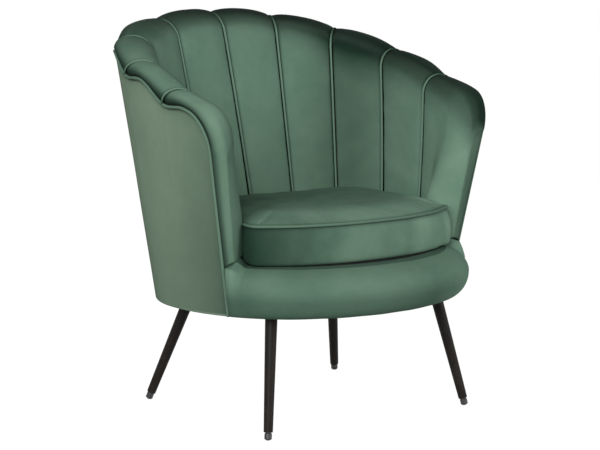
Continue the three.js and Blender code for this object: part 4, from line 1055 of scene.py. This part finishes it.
def border_section(share, bulge):
    """The border's section at a place across the front, with a mitred slope at the arms."""
    end = abs(share * 2 - 1)
    from_end = (1 - end) / 2 * FRONT_LINE.length
    mitred = 1 - eased(from_end, MITRE_REACH, MITRE_REACH + MITRE_FADE)
    bulge *= math.sqrt(max(0.0, 1 - end**7))
    top = DECK_TOP - SEWN
    widest = UNDERSIDE + (top - UNDERSIDE) * BORDER_WIDEST_SHARE
    arm_thick = float(wall_thickness(ARM_END, wall_share(ARM_END, DECK_TOP)))
    mitre_inset = arm_thick - ARM_LEAN * (top - UNDERSIDE)
    band = BAND_INSET - SEWN

    def lean(height):
        return -ARM_LEAN * (height - UNDERSIDE)

    section = [(band, UNDERSIDE - HEM_DROP), (HEM_INSET, UNDERSIDE - HEM_DROP)]

    def add(plain, leaning):
        section.append(tuple(a + (b - a) * mitred for a, b in zip(plain, leaning)))

    for k in range(BORDER_FACE_ROWS + 1):
        turn = math.pi / 2 * k / BORDER_FACE_ROWS
        out, height = -bulge * math.sin(turn), widest - (widest - UNDERSIDE) * math.cos(turn)
        add((out, height), (out + lean(height), height))
    for k in range(1, BORDER_TOP_ROWS + 1):
        turn = math.pi / 2 * k / BORDER_TOP_ROWS
        inset = -bulge + (BORDER_INSET + bulge) * (1 - math.cos(turn))
        half = 2 * k / BORDER_TOP_ROWS
        rising, across = min(1.0, half), max(0.0, half - 1)
        height = widest + (top - widest) * rising
        outer = lean(height) - bulge * math.cos(math.pi / 2 * rising)
        add((inset, widest + (top - widest) * math.sin(turn)),
            (outer + (mitre_inset - outer) * across, height + MITRE_RISE * across))
    inner = BORDER_INSET + (mitre_inset - BORDER_INSET) * mitred + SEWN
    section += [(inner, top - BORDER_TUCK), (inner, BORDER_LEDGE), (band, BORDER_LEDGE)]
    return np.array(section)


class ARMCHAIR_OT_front_border(bpy.types.Operator):
    """Makes the padded border across the front, under the cushion, mitred to the arm fronts"""

    bl_idname = "armchair.front_border"
    bl_label = "Front Border"

    def execute(self, context):
        bulge = sizes().border_bulge / MM
        stations = (1 - np.cos(np.linspace(0, math.pi, BORDER_STATIONS))) / 2
        rings = []
        for share in stations:
            x, y = FRONT_LINE.at(np.array(share))
            inward = FRONT_LINE.normal(np.array(share))
            section = border_section(share, bulge)
            rings.append([(x + inward[0] * inset, y + inward[1] * inset + SHIFT, z) for inset, z in section])
        rings = np.array(rings)
        count = rings.shape[1]
        normals = grid_normals(rings, rings - rings.mean(axis=1, keepdims=True))
        flat = rings.reshape(-1, 3)
        slack = smooth_noise(flat, *BORDER_SLACK).reshape(rings.shape[:2])
        gather = smooth_noise(flat, *BORDER_GATHER).reshape(rings.shape[:2])
        from_end = np.minimum(stations, 1 - stations)[:, None] * FRONT_LINE.length
        soft = np.zeros(count)
        soft[3 : BORDER_FACE_ROWS + BORDER_TOP_ROWS + 2] = 1.0
        gathered = sizes().pucker / MM * gather * np.exp(-from_end / BORDER_GATHER_REACH)
        push = (BORDER_SLACK_DEPTH * slack + gathered) * soft * np.clip(from_end / BORDER_EASE_REACH, 0, 1)
        rings = rings + normals * push[..., None]
        points = rings.reshape(-1, 3)
        lie = unit_rows(np.gradient(rings, axis=1).reshape(-1, 3))
        faces = closed_tube(len(stations), count)
        # Painted shade in the seams at both ends
        crease_shade = np.broadcast_to(fading(from_end, BORDER_CREASE_SHADE_WIDTH), rings.shape[:2])
        # Painted shade: darker down to the hem and lighter again round the right corner, and full on the inner
        # side
        nap = np.clip(0.05 + 0.75 * (BORDER_SHADE_TOP - rings[..., 2]) / BORDER_SHADE_FALL, 0.05, 0.8)
        nap = nap * (1 - 0.8 * eased(rings[..., 0], BORDER_LIGHT_START, BORDER_LIGHT_END))
        nap[:, BORDER_SHADE_ROWS:] = 0.9
        border = mesh_object("front_border_roll", points, faces, chair_material("velvet_border"), pile=lie,
                             crease_shade=crease_shade, nap=nap)
        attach(border, "frame")
        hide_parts("front_border")
        return {"FINISHED"}


# Seat cushion

CUSHION_STATIONS, FOOT_RINGS, BAND_RINGS, CROWN_RINGS, HELD_RINGS = 320, 6, 16, 25, 6
# Outline of the cushion: the front arc, the part inside the tub, and how they narrow down the band
ARC_OVAL, TUB_OVAL, OVAL_POWER, JOIN_POWER = (320.0, 262.0, 400.0), (271.0, 350.0, 154.0), 2.3, -70.0
TUB_WIDER, TUB_DEEPER = 8.0, 14.0
# The front corners: how far their ears reach out at the foot, how much less at the top, and their necks
EAR_REACH, EAR_FALL, EAR_WIDTH, LEFT_EAR_SHARE = 19.0, 8.0, 0.06, 0.4
NECK_DEPTH, NECK_TILT, NECK_WIDTH = 20.0, 0.17, 0.12
FOOT_ROUND, FOOT_INSET, BAND_SWELL, BAND_TAPER, SEAM_DROP = 12.0, 3.0, 4.0, 6.0, 2.6
FOOT_INSETS, CROWN_INSET, CROWN_REACH, CUSHION_MIDDLE = (120.0, 60.0, 30.0), 11.0, 118.0, 40.0
CUSHION_GATHER, CUSHION_DENTS, DENT_DEPTH = (16.0, 6.6), (110.0, 2.2), 2.2
CORD_LIFT_SHARE, CORD_INSET = 0.72, 9.0
CLOTH_PRESSURE, CLOTH_FRAMES, CLOTH_CAP = 4.0, 20, 0.004


def corner_tilt(turn):
    """Angle of a direction from straight across towards the front."""
    return np.arctan2(-np.sin(turn), np.abs(np.cos(turn)))


def cushion_turns():
    """Directions round the cushion, closer together at its two front corners."""
    fine = np.linspace(0, 2 * math.pi, 2881)
    density = 1 + 5 * fading(corner_tilt(fine) - CORNER_TILT, 0.1)
    passed = np.concatenate([[0], np.cumsum((density[1:] + density[:-1]) / 2)])
    return np.interp(np.linspace(0, passed[-1], CUSHION_STATIONS + 1)[:-1], passed, fine)


def cushion_reach(turn, height, shrink):
    """How far the cushion's outline reaches in each direction."""
    share = min(1.0, max(0.0, (height - CUSHION_FOOT) / CUSHION_BAND))

    def oval(half_width, front, back):
        across = np.abs(np.cos(turn)) / (half_width - shrink)
        along = np.abs(np.sin(turn)) / (np.where(np.sin(turn) > 0, back, front) - shrink)
        return (across**OVAL_POWER + along**OVAL_POWER) ** (-1 / OVAL_POWER)

    width, front, back = TUB_OVAL
    arc = oval(*ARC_OVAL)
    tub = oval(width + TUB_WIDER * share, front, back + TUB_DEEPER * share)
    tilt = corner_tilt(turn) - CORNER_TILT
    ear = np.where(np.cos(turn) < 0, LEFT_EAR_SHARE, 1.0) * (EAR_REACH - EAR_FALL * share)
    neck = NECK_DEPTH * fading(tilt + NECK_TILT, NECK_WIDTH)
    return (arc**JOIN_POWER + tub**JOIN_POWER) ** (1 / JOIN_POWER) + ear * fading(tilt, EAR_WIDTH) - neck


def cushion_ring(turn, height, shrink):
    reach = cushion_reach(turn, height, shrink)
    return np.stack([reach * np.cos(turn), reach * np.sin(turn) + SHIFT, np.full_like(turn, height)], -1)


def puffed(piece, held):
    """Blows a pad up with Cloth while its seams are held, and keeps the new shape without the modifier."""
    scene = bpy.context.scene
    pins = piece.vertex_groups.new(name="seams")
    pins.add(held, 1.0, "REPLACE")
    cloth = piece.modifiers.new("Puff", "CLOTH")
    cloth.settings.vertex_group_mass = pins.name
    cloth.settings.use_pressure = True
    cloth.settings.uniform_pressure_force = CLOTH_PRESSURE
    cloth.settings.effector_weights.gravity = 0.0
    cloth.collision_settings.use_collision = False
    cloth.point_cache.frame_start = 1
    cloth.point_cache.frame_end = CLOTH_FRAMES
    for step in range(1, CLOTH_FRAMES + 1):
        scene.frame_set(step)
    shaped = piece.evaluated_get(bpy.context.evaluated_depsgraph_get())
    ends = np.empty(len(shaped.data.vertices) * 3)
    shaped.data.vertices.foreach_get("co", ends)
    starts = np.empty_like(ends)
    piece.data.vertices.foreach_get("co", starts)
    move = (ends - starts).reshape(-1, 3)
    size = np.maximum(np.linalg.norm(move, axis=1, keepdims=True), 1e-9)
    piece.modifiers.remove(cloth)
    piece.data.vertices.foreach_set("co", starts + (move * np.minimum(1, CLOTH_CAP / size)).ravel())
    piece.data.update()
    piece.vertex_groups.remove(pins)
    scene.frame_set(1)


class ARMCHAIR_OT_seat_cushion(bpy.types.Operator):
    """Makes the loose seat cushion with its crown, its band and the cord round its top edge"""

    bl_idname = "armchair.seat_cushion"
    bl_label = "Seat Cushion"

    def execute(self, context):
        own = sizes()
        turn = cushion_turns()
        seam = CUSHION_FOOT + CUSHION_BAND - SEAM_DROP
        band_foot = CUSHION_FOOT + FOOT_ROUND
        rings = [cushion_ring(turn, CUSHION_FOOT, inset) for inset in FOOT_INSETS]
        for k in range(FOOT_RINGS + 1):
            angle = math.pi / 2 * k / FOOT_RINGS
            rings.append(cushion_ring(turn, CUSHION_FOOT + FOOT_ROUND * (1 - math.cos(angle)),
                                      FOOT_INSET + FOOT_ROUND * (1 - math.sin(angle))))
        for k in range(1, BAND_RINGS + 1):
            share = k / BAND_RINGS
            swell = BAND_SWELL * math.sin(math.pi * share)
            rings.append(cushion_ring(turn, band_foot + (seam - band_foot) * share,
                                      FOOT_INSET - swell + BAND_TAPER * share))
        band_rings = len(rings)
        for share in np.linspace(0, 1, CROWN_RINGS + 1)[1:]:
            rise = own.crown / MM * math.sin(math.pi / 2 * share) ** 0.7
            rings.append(cushion_ring(turn, seam + rise, CROWN_INSET + CROWN_REACH * share**1.25))
        rings = np.array(rings)
        rings[3:] += self.softness(rings[3:], band_rings - 3)
        layers, count = rings.shape[:2]
        middle = SHIFT - CUSHION_MIDDLE
        middles = [[0.0, middle, CUSHION_FOOT], [0.0, middle, seam + own.crown / MM]]
        points = np.concatenate([rings.reshape(-1, 3), middles])
        faces = grid_loops(layers, count)
        last = (layers - 1) * count
        faces += [((j + 1) % count, j, len(points) - 2) for j in range(count)]
        faces += [(last + j, last + (j + 1) % count, len(points) - 1) for j in range(count)]
        lie = np.zeros_like(points)
        lie[: band_rings * count] = (0, 0, 1)
        lie[band_rings * count:] = (0, 1, 0)
        # Painted shade: the band is darkest at its left end, where the left arm shades it, and the crown in its
        # middle and at the left
        across = points[:-2, 0].reshape(layers, count)
        nap = 0.22 + 0.29 * (1 - eased(across, 80.0, 130.0))
        nap += 0.49 * np.clip(1 - (across + 254.0) / 190.0, 0, 1) ** 1.1
        crowned = eased(np.arange(layers - band_rings), 9.0, 19.0)[:, None]
        nap[band_rings:] = 0.4 * crowned + 0.2 * fading(across[band_rings:] + 255.0, 120.0)
        nap = np.concatenate([nap.ravel(), [0.0, 0.6]])
        # Painted shade in the sewn seam round the top
        order = np.arange(layers) - band_rings + 0.5
        crease_shade = np.concatenate([np.repeat(fading(order, 1.5), count), [0, 0]])
        material = chair_material("velvet_cushion")
        cushion = mesh_object("seat_cushion_velvet", points, faces, material, pile=lie,
                              crease_shade=crease_shade, nap=nap)
        foot = range(HELD_RINGS * count)
        puffed(cushion, [*foot, *range((band_rings - 1) * count, (band_rings + 1) * count)])
        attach(cushion, "cushion")
        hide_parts("seat_cushion")
        self.cord(turn, seam, own.cord / MM)
        return {"FINISHED"}

    def softness(self, rings, band):
        """Small uneven moves of the cloth: gathers beside the cord and broad dents on the crown."""
        flat = rings.reshape(-1, 3)
        gather = smooth_noise(flat * np.array([1.0, 1.0, 0.4]), *CUSHION_GATHER).reshape(rings.shape[:2])
        dents = smooth_noise(flat, *CUSHION_DENTS).reshape(rings.shape[:2])
        order = np.arange(len(rings))[:, None]
        near = np.exp(-np.abs(order - band + 0.5) / 3.5)
        near *= np.clip(np.abs(order - band + 0.5) / 2.0, 0, 1)
        crowned = np.clip((order - band) / 8.0, 0, 1)
        outward = rings - np.array([0.0, SHIFT, 0.0])
        outward[..., 2] = 0
        outward /= np.linalg.norm(outward, axis=-1, keepdims=True)
        up = np.array([0.0, 0.0, 1.0])
        gathered = sizes().pucker / MM * gather * near
        side = (order < band) * gathered
        top = (order >= band) * (gathered + DENT_DEPTH * dents * crowned)
        return outward * side[..., None] + up * top[..., None]

    def cord(self, turn, seam, radius):
        lift = radius * CORD_LIFT_SHARE
        route = cushion_ring(turn, seam + lift, CORD_INSET - lift)
        ahead = np.roll(route, -1, 0) - np.roll(route, 1, 0)
        out = unit_rows(np.stack([ahead[:, 1], -ahead[:, 0], np.zeros(len(route))], -1))
        points = []
        for place, way in zip(route, out):
            for k in range(CORD_SIDES):
                angle = 2 * math.pi * k / CORD_SIDES
                up = np.array([0, 0, radius * math.sin(angle)])
                points.append(place + way * radius * math.cos(angle) + up)
        faces = grid_loops(len(route), CORD_SIDES, closed=True)
        # Painted shade: the cord's colour is evenly darkened
        piping = mesh_object("cushion_piping_cord", points, faces, chair_material("velvet_cords"),
                             nap=np.full(len(points), 0.35))
        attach(piping, "cushion")
        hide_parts("cushion_piping")


# Legs and glides, in millimetres

LEG_STANDS = {"front": (254.0, -238.0), "rear": (249.0, 205.0)}
LEG_TOP, LEG_OVERRUN, LEG_CUT, LEG_FOOT_RADIUS, LEG_TAPER = 238.0, 6.0, 236.2, 9.2, 3.3
LEG_BORE, LEG_BORE_DEPTH, LEG_GAP, LEG_EDGE = 4.3, 26.0, 0.3, 1.5
GLIDE_BALL, GLIDE_EDGE, GLIDE_CENTRE, GLIDE_HEIGHT = 9.5, 7.5, 9.0, 12.0
GLIDE_NECK, GLIDE_STEM, GLIDE_STEM_LENGTH = 6.3, 4.0, 22.0
PLATE_RADIUS, PLATE_THICK, PLATE_EDGE, PLATE_SHIFT = 33.7, 3.0, 0.3, 19.0
SCREW_CIRCLE, SCREW_HOLE, PLATE_SCREWS = 25.0, 3.1, 3


def corner_axis(corner):
    """A leg's foot and the way its axis goes up, from the frame's joints."""
    joint = next(j for j in frame["joints"] if j["name"] == f"glide_{corner}_screw_out")
    axis = -Vector(joint["axis"]).normalized()
    end, side = corner.split("_")
    x, y = LEG_STANDS[end]
    return Vector((-x if side == "left" else x, y + SHIFT, 0)) * MM, axis


def revolve(profile, facets):
    """Points and faces of a turned shape, from (radius, height) pairs that start and end on the axis."""
    points, faces, rings = [], [], []
    for radius, height in profile:
        if radius == 0:
            rings.append([len(points)])
            points.append((0.0, 0.0, height))
        else:
            rings.append(list(range(len(points), len(points) + facets)))
            for k in range(facets):
                turn = 2 * math.pi * k / facets
                points.append((radius * math.cos(turn), radius * math.sin(turn), height))
    for low, high in zip(rings, rings[1:]):
        for k in range(facets):
            n = (k + 1) % facets
            if len(low) == 1:
                faces.append((low[0], high[n], high[k]))
            elif len(high) == 1:
                faces.append((low[k], low[n], high[0]))
            else:
                faces.append((low[k], low[n], high[n], high[k]))
    return points, faces


def stand_on_axis(points, foot, axis):
    turn = Vector((0, 0, 1)).rotation_difference(axis).to_matrix()
    return [(turn @ Vector(p) + foot / MM)[:] for p in points]


def keep_above(piece, height, below=False):
    """Cuts a mesh with a level plane and closes the cut."""
    work = bmesh.new()
    work.from_mesh(piece.data)
    geometry = work.verts[:] + work.edges[:] + work.faces[:]
    bmesh.ops.bisect_plane(work, geom=geometry, plane_co=(0, 0, height), plane_no=(0, 0, 1),
                           clear_outer=below, clear_inner=not below)
    bmesh.ops.holes_fill(work, edges=[e for e in work.edges if e.is_boundary])
    bmesh.ops.recalc_face_normals(work, faces=work.faces)
    work.to_mesh(piece.data)
    work.free()


class ARMCHAIR_OT_legs(bpy.types.Operator):
    """Makes the four tapered legs with their top plates, and the glides screwed into them"""

    bl_idname = "armchair.legs"
    bl_label = "Legs and Glides"

    def execute(self, context):
        facets = sizes().leg_facets
        for corner in CORNERS:
            foot, axis = corner_axis(corner)
            centre = GLIDE_CENTRE / axis.z
            edge_turn = math.asin(GLIDE_EDGE / GLIDE_BALL)
            seat = centre - GLIDE_BALL * math.cos(edge_turn) + GLIDE_HEIGHT
            start = seat + LEG_GAP
            full = LEG_TOP / axis.z + LEG_OVERRUN
            bore = start + LEG_BORE_DEPTH
            profile = [(0, bore), (LEG_BORE, bore), (LEG_BORE, start + 0.4), (4.7, start), (8.4, start),
                       (9.1, start + 0.7)]
            for share in np.linspace(0, 1, 13).tolist():
                height = start + LEG_EDGE + (full - start - LEG_EDGE) * share
                profile.append((LEG_FOOT_RADIUS + LEG_TAPER * share, height))
            profile.append((0, full))
            points, faces = revolve(profile, facets)
            leg = mesh_object(f"leg_{corner}_tube", stand_on_axis(points, foot, axis), faces,
                              chair_material("leg_coat"))
            keep_above(leg, LEG_CUT * MM, below=True)
            leg.data.set_sharp_from_angle(angle=math.radians(40))
            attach(leg, "frame")
            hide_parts(f"leg_{corner}")
            self.top_plate(corner, foot, axis)
            profile = [(0, centre - GLIDE_BALL)]
            for k in range(1, 9):
                angle = edge_turn * k / 8
                profile.append((GLIDE_BALL * math.sin(angle), centre - GLIDE_BALL * math.cos(angle)))
            top = seat + GLIDE_STEM_LENGTH
            profile += [(GLIDE_EDGE, seat - 2.6), (7.2, seat - 2.2), (6.5, seat - 1.4),
                        (GLIDE_NECK, seat - 1.0), (GLIDE_NECK, seat), (GLIDE_STEM, seat),
                        (GLIDE_STEM, top - 1), (3.4, top), (0, top)]
            points, faces = revolve(profile, facets)
            glide = mesh_object(f"glide_{corner}_foot", stand_on_axis(points, foot, axis), faces,
                                chair_material("glide_plastic"))
            keep_above(glide, 0.0)
            glide.data.set_sharp_from_angle(angle=math.radians(35))
            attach(glide, f"glide_{corner}_body")
            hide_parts(f"glide_{corner}")
        return {"FINISHED"}

    def top_plate(self, corner, foot, axis):
        """The round plate welded on a leg, with its screw holes, level under the seat frame."""
        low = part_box(f"leg_{corner}")[1][2] - PLATE_THICK * MM
        top = foot + axis * (low / axis.z)
        way = Vector((top.x, top.y - SHIFT * MM, 0)).normalized()
        seat = Vector((top.x, top.y, 0)) - way * PLATE_SHIFT * MM
        turn = math.atan2(way.y, way.x)
        curve = bpy.data.curves.new(f"leg_{corner}_plate", "CURVE")
        curve.dimensions = "2D"
        curve.fill_mode = "BOTH"
        curve.extrude = (PLATE_THICK / 2 - PLATE_EDGE) * MM
        curve.bevel_depth = PLATE_EDGE * MM

        def circle(x, y, radius, count):
            spline = curve.splines.new("POLY")
            spline.points.add(count - 1)
            for k, point in enumerate(spline.points):
                angle = 2 * math.pi * k / count
                point.co = (x + radius * math.cos(angle), y + radius * math.sin(angle), 0, 1)
            spline.use_cyclic_u = True

        circle(0, 0, PLATE_RADIUS * MM, 64)
        reach = SCREW_CIRCLE * MM
        for k in range(PLATE_SCREWS):
            angle = turn + math.pi + 2 * math.pi * k / PLATE_SCREWS
            circle(reach * math.cos(angle), reach * math.sin(angle), SCREW_HOLE * MM, 20)
        shape = bpy.data.objects.new(f"leg_{corner}_plate_shape", curve)
        mesh = bpy.data.meshes.new_from_object(shape)
        bpy.data.objects.remove(shape)
        bpy.data.curves.remove(curve)
        mesh.name = f"leg_{corner}_plate"
        mesh.transform(Matrix.Translation((seat.x, seat.y, low + PLATE_THICK / 2 * MM)))
        plate = bpy.data.objects.new(f"leg_{corner}_plate", mesh)
        bpy.context.collection.objects.link(plate)
        mesh.materials.clear()
        mesh.materials.append(chair_material("leg_coat"))
        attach(plate, "frame")


# Hidden pieces of the frame

DECK_MIDDLE, DECK_SINK, DECK_EDGE = 320.0, 1.2, 4.0
DECK_CLOTH_TOP, DECK_CLOTH_FOOT = 333.9, 332.9
NODE_FINISHES = {
    "plywood": "plywood", "timber": "timber", "fibreboard": "fibreboard", "webbing": "webbing",
    "foam": "foam", "felt": "dust_cloth", "zinc": "zinc", "black_metal": "leg_coat",
    "black_plastic": "glide_plastic", "velvet": "velvet_cords", "velvet_outside": "velvet_cords",
}


class ARMCHAIR_OT_inner_frame(bpy.types.Operator):
    """Gives the inner pieces their finishes, and makes the foam deck, its cloth and the dust cloth"""

    bl_idname = "armchair.inner_frame"
    bl_label = "Inner Frame"

    def execute(self, context):
        for row in frame["record"]["subparts"]:
            node = frame["nodes"][row["node"]]
            finish = chair_material(NODE_FINISHES[row["material_slot"]])
            node.data.materials.clear()
            node.data.materials.append(finish)
        self.foam_deck()
        self.deck_cloth()
        self.dust_cloth()
        return {"FINISHED"}

    def foam_deck(self):
        deck, work = opened_copy("deck_pad", "deck_pad_foam")
        for vertex in work.verts:
            if vertex.co.z > DECK_MIDDLE * MM:
                vertex.co.z -= DECK_SINK * MM
        rim = [e for e in work.edges if e.is_manifold and e.calc_face_angle() > math.radians(60)]
        bmesh.ops.bevel(work, geom=rim, offset=DECK_EDGE * MM, segments=3, profile=0.5, affect="EDGES",
                        clamp_overlap=True)
        close_copy(deck, work, "foam")
        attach(deck, "frame")
        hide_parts("deck_pad")

    def deck_cloth(self):
        """Black platform cloth over the foam deck, under the cushion."""
        cloth, work = opened_copy("deck_pad", "deck_cloth")
        for vertex in work.verts:
            vertex.co.z = (DECK_CLOTH_TOP if vertex.co.z > DECK_MIDDLE * MM else DECK_CLOTH_FOOT) * MM
        close_copy(cloth, work, "dust_cloth")
        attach(cloth, "frame")

    def dust_cloth(self):
        cloth, work = opened_copy("dust_cover", "dust_cover_cloth")
        close_copy(cloth, work, "dust_cloth")
        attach(cloth, "frame")
        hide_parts("dust_cover")


def opened_copy(node, name):
    """A new piece with a CAD node's shape, opened for changes with its flat faces joined up."""
    mesh = frame["nodes"][node].data.copy()
    mesh.name = name
    piece = bpy.data.objects.new(name, mesh)
    bpy.context.collection.objects.link(piece)
    work = bmesh.new()
    work.from_mesh(mesh)
    bmesh.ops.remove_doubles(work, verts=work.verts, dist=1e-6)
    bmesh.ops.dissolve_limit(work, angle_limit=math.radians(1), verts=work.verts, edges=work.edges)
    return piece, work


def close_copy(piece, work, material):
    bmesh.ops.triangulate(work, faces=work.faces)
    work.to_mesh(piece.data)
    work.free()
    for polygon in piece.data.polygons:
        polygon.use_smooth = True
    piece.data.set_sharp_from_angle(angle=math.radians(50))
    piece.data.materials.clear()
    piece.data.materials.append(chair_material(material))


# Stage: floor, world, lamps and camera


def white_for_camera(bench, shade, white, share):
    """Mixes a shader with plain white where the camera, a reflection or glass sees it."""
    path = bench.add("ShaderNodeLightPath").outputs
    seen = bench.math("ADD", path["Is Camera Ray"], path["Is Glossy Ray"], clamp=True)
    seen = bench.math("ADD", seen, path["Is Transmission Ray"], clamp=True)
    mix = bench.add("ShaderNodeMixShader")
    for socket, value in zip(mix.inputs, (bench.math("MULTIPLY", seen, share), shade, white)):
        bench.link(value, socket)
    return mix.outputs[0]


def cleared_bench(owner):
    """A bench for the empty node tree of a material or a world."""
    owner.use_nodes = True
    owner.node_tree.nodes.clear()
    return NodeBench(owner.node_tree)


class ARMCHAIR_OT_stage(bpy.types.Operator):
    """Sets the pale floor, the soft studio light and the camera"""

    bl_idname = "armchair.stage"
    bl_label = "Stage"

    def execute(self, context):
        self.floor()
        self.world()
        self.lamps()
        self.camera()
        context.scene.view_settings.view_transform = "Standard"
        return {"FINISHED"}

    def floor(self):
        mesh = bpy.data.meshes.new("studio_floor")
        corners = [(x * FLOOR_HALF, y * FLOOR_HALF, 0) for x, y in ((-1, -1), (1, -1), (1, 1), (-1, 1))]
        mesh.from_pydata(corners, [], [(0, 1, 2, 3)])
        floor = bpy.data.objects.new("studio_floor", mesh)
        bpy.context.collection.objects.link(floor)
        material = bpy.data.materials.new("studio_floor")
        bench = cleared_bench(material)
        diffuse = bench.add("ShaderNodeBsdfDiffuse")
        bench.set(diffuse, Color=FLOOR_COLOUR)
        glow = bench.add("ShaderNodeEmission")
        bench.set(glow, Strength=FLOOR_WHITE)
        mix = white_for_camera(bench, diffuse.outputs[0], glow.outputs[0], FLOOR_SEEN_SHARE)
        bench.set(bench.add("ShaderNodeOutputMaterial"), Surface=mix)
        mesh.materials.append(material)

    def world(self):
        world = bpy.context.scene.world or bpy.data.worlds.new("studio")
        bpy.context.scene.world = world
        bench = cleared_bench(world)
        dim = bench.add("ShaderNodeBackground")
        bench.set(dim, Color=(1, 1, 1, 1), Strength=WORLD_LIGHT)
        white = bench.add("ShaderNodeBackground")
        bench.set(white, Color=(1, 1, 1, 1))
        mix = white_for_camera(bench, dim.outputs[0], white.outputs[0], 1.0)
        bench.set(bench.add("ShaderNodeOutputWorld"), Surface=mix)

    def lamps(self):
        for name, place, aim, size, watts in LAMPS:
            light = bpy.data.lights.new(name, "AREA")
            light.shape = "DISK"
            light.size = size
            light.energy = watts
            lamp = bpy.data.objects.new(name, light)
            lamp.location = place
            lamp.rotation_euler = (Vector(aim) - Vector(place)).to_track_quat("-Z", "Y").to_euler()
            bpy.context.collection.objects.link(lamp)

    def camera(self):
        azimuth, elevation = math.radians(CAMERA_AZIMUTH), math.radians(CAMERA_ELEVATION)
        level = math.cos(elevation)
        back = Vector((math.sin(azimuth) * level, -math.cos(azimuth) * level, math.sin(elevation)))
        data = bpy.data.cameras.new("photo_camera")
        data.sensor_width = SENSOR_WIDTH
        data.sensor_fit = "HORIZONTAL"
        data.lens = FOCAL_PIXELS / PHOTO_PIXELS * SENSOR_WIDTH
        data.clip_end = 60
        camera = bpy.data.objects.new("photo_camera", data)
        camera.location = Vector((0, SHIFT * MM, CAMERA_AIM)) + back * CAMERA_DISTANCE
        camera.rotation_euler = (-back).to_track_quat("-Z", "Y").to_euler()
        bpy.context.collection.objects.link(camera)
        bpy.context.scene.camera = camera


class ARMCHAIR_PT_panel(bpy.types.Panel):
    """Lists the chair's pieces, sizes and colours"""

    bl_idname = "ARMCHAIR_PT_panel"
    bl_label = "Armchair"
    bl_space_type = "VIEW_3D"
    bl_region_type = "UI"
    bl_category = "Armchair"

    def draw(self, context):
        for operator in OPERATORS:
            self.layout.operator(operator.bl_idname)
        for group in (context.scene.armchair_sizes, context.scene.armchair_colours):
            box = self.layout.box()
            for name in group.__annotations__:
                box.prop(group, name)


OPERATORS = (
    ARMCHAIR_OT_inner_frame,
    ARMCHAIR_OT_channel_pads,
    ARMCHAIR_OT_seam_piping,
    ARMCHAIR_OT_outside_cover,
    ARMCHAIR_OT_front_border,
    ARMCHAIR_OT_seat_cushion,
    ARMCHAIR_OT_legs,
    ARMCHAIR_OT_stage,
)
CLASSES = (ChairColours, ChairSizes) + OPERATORS + (ARMCHAIR_PT_panel,)


def register():
    for cls in CLASSES:
        bpy.utils.register_class(cls)
    bpy.types.Scene.armchair_sizes = bpy.props.PointerProperty(type=ChairSizes)
    bpy.types.Scene.armchair_colours = bpy.props.PointerProperty(type=ChairColours)


def unregister():
    del bpy.types.Scene.armchair_colours
    del bpy.types.Scene.armchair_sizes
    for cls in reversed(CLASSES):
        bpy.utils.unregister_class(cls)


def main():
    register()
    for operator in OPERATORS:
        group, name = operator.bl_idname.split(".")
        getattr(getattr(bpy.ops, group), name)()


if __name__ == "__main__":
    main()
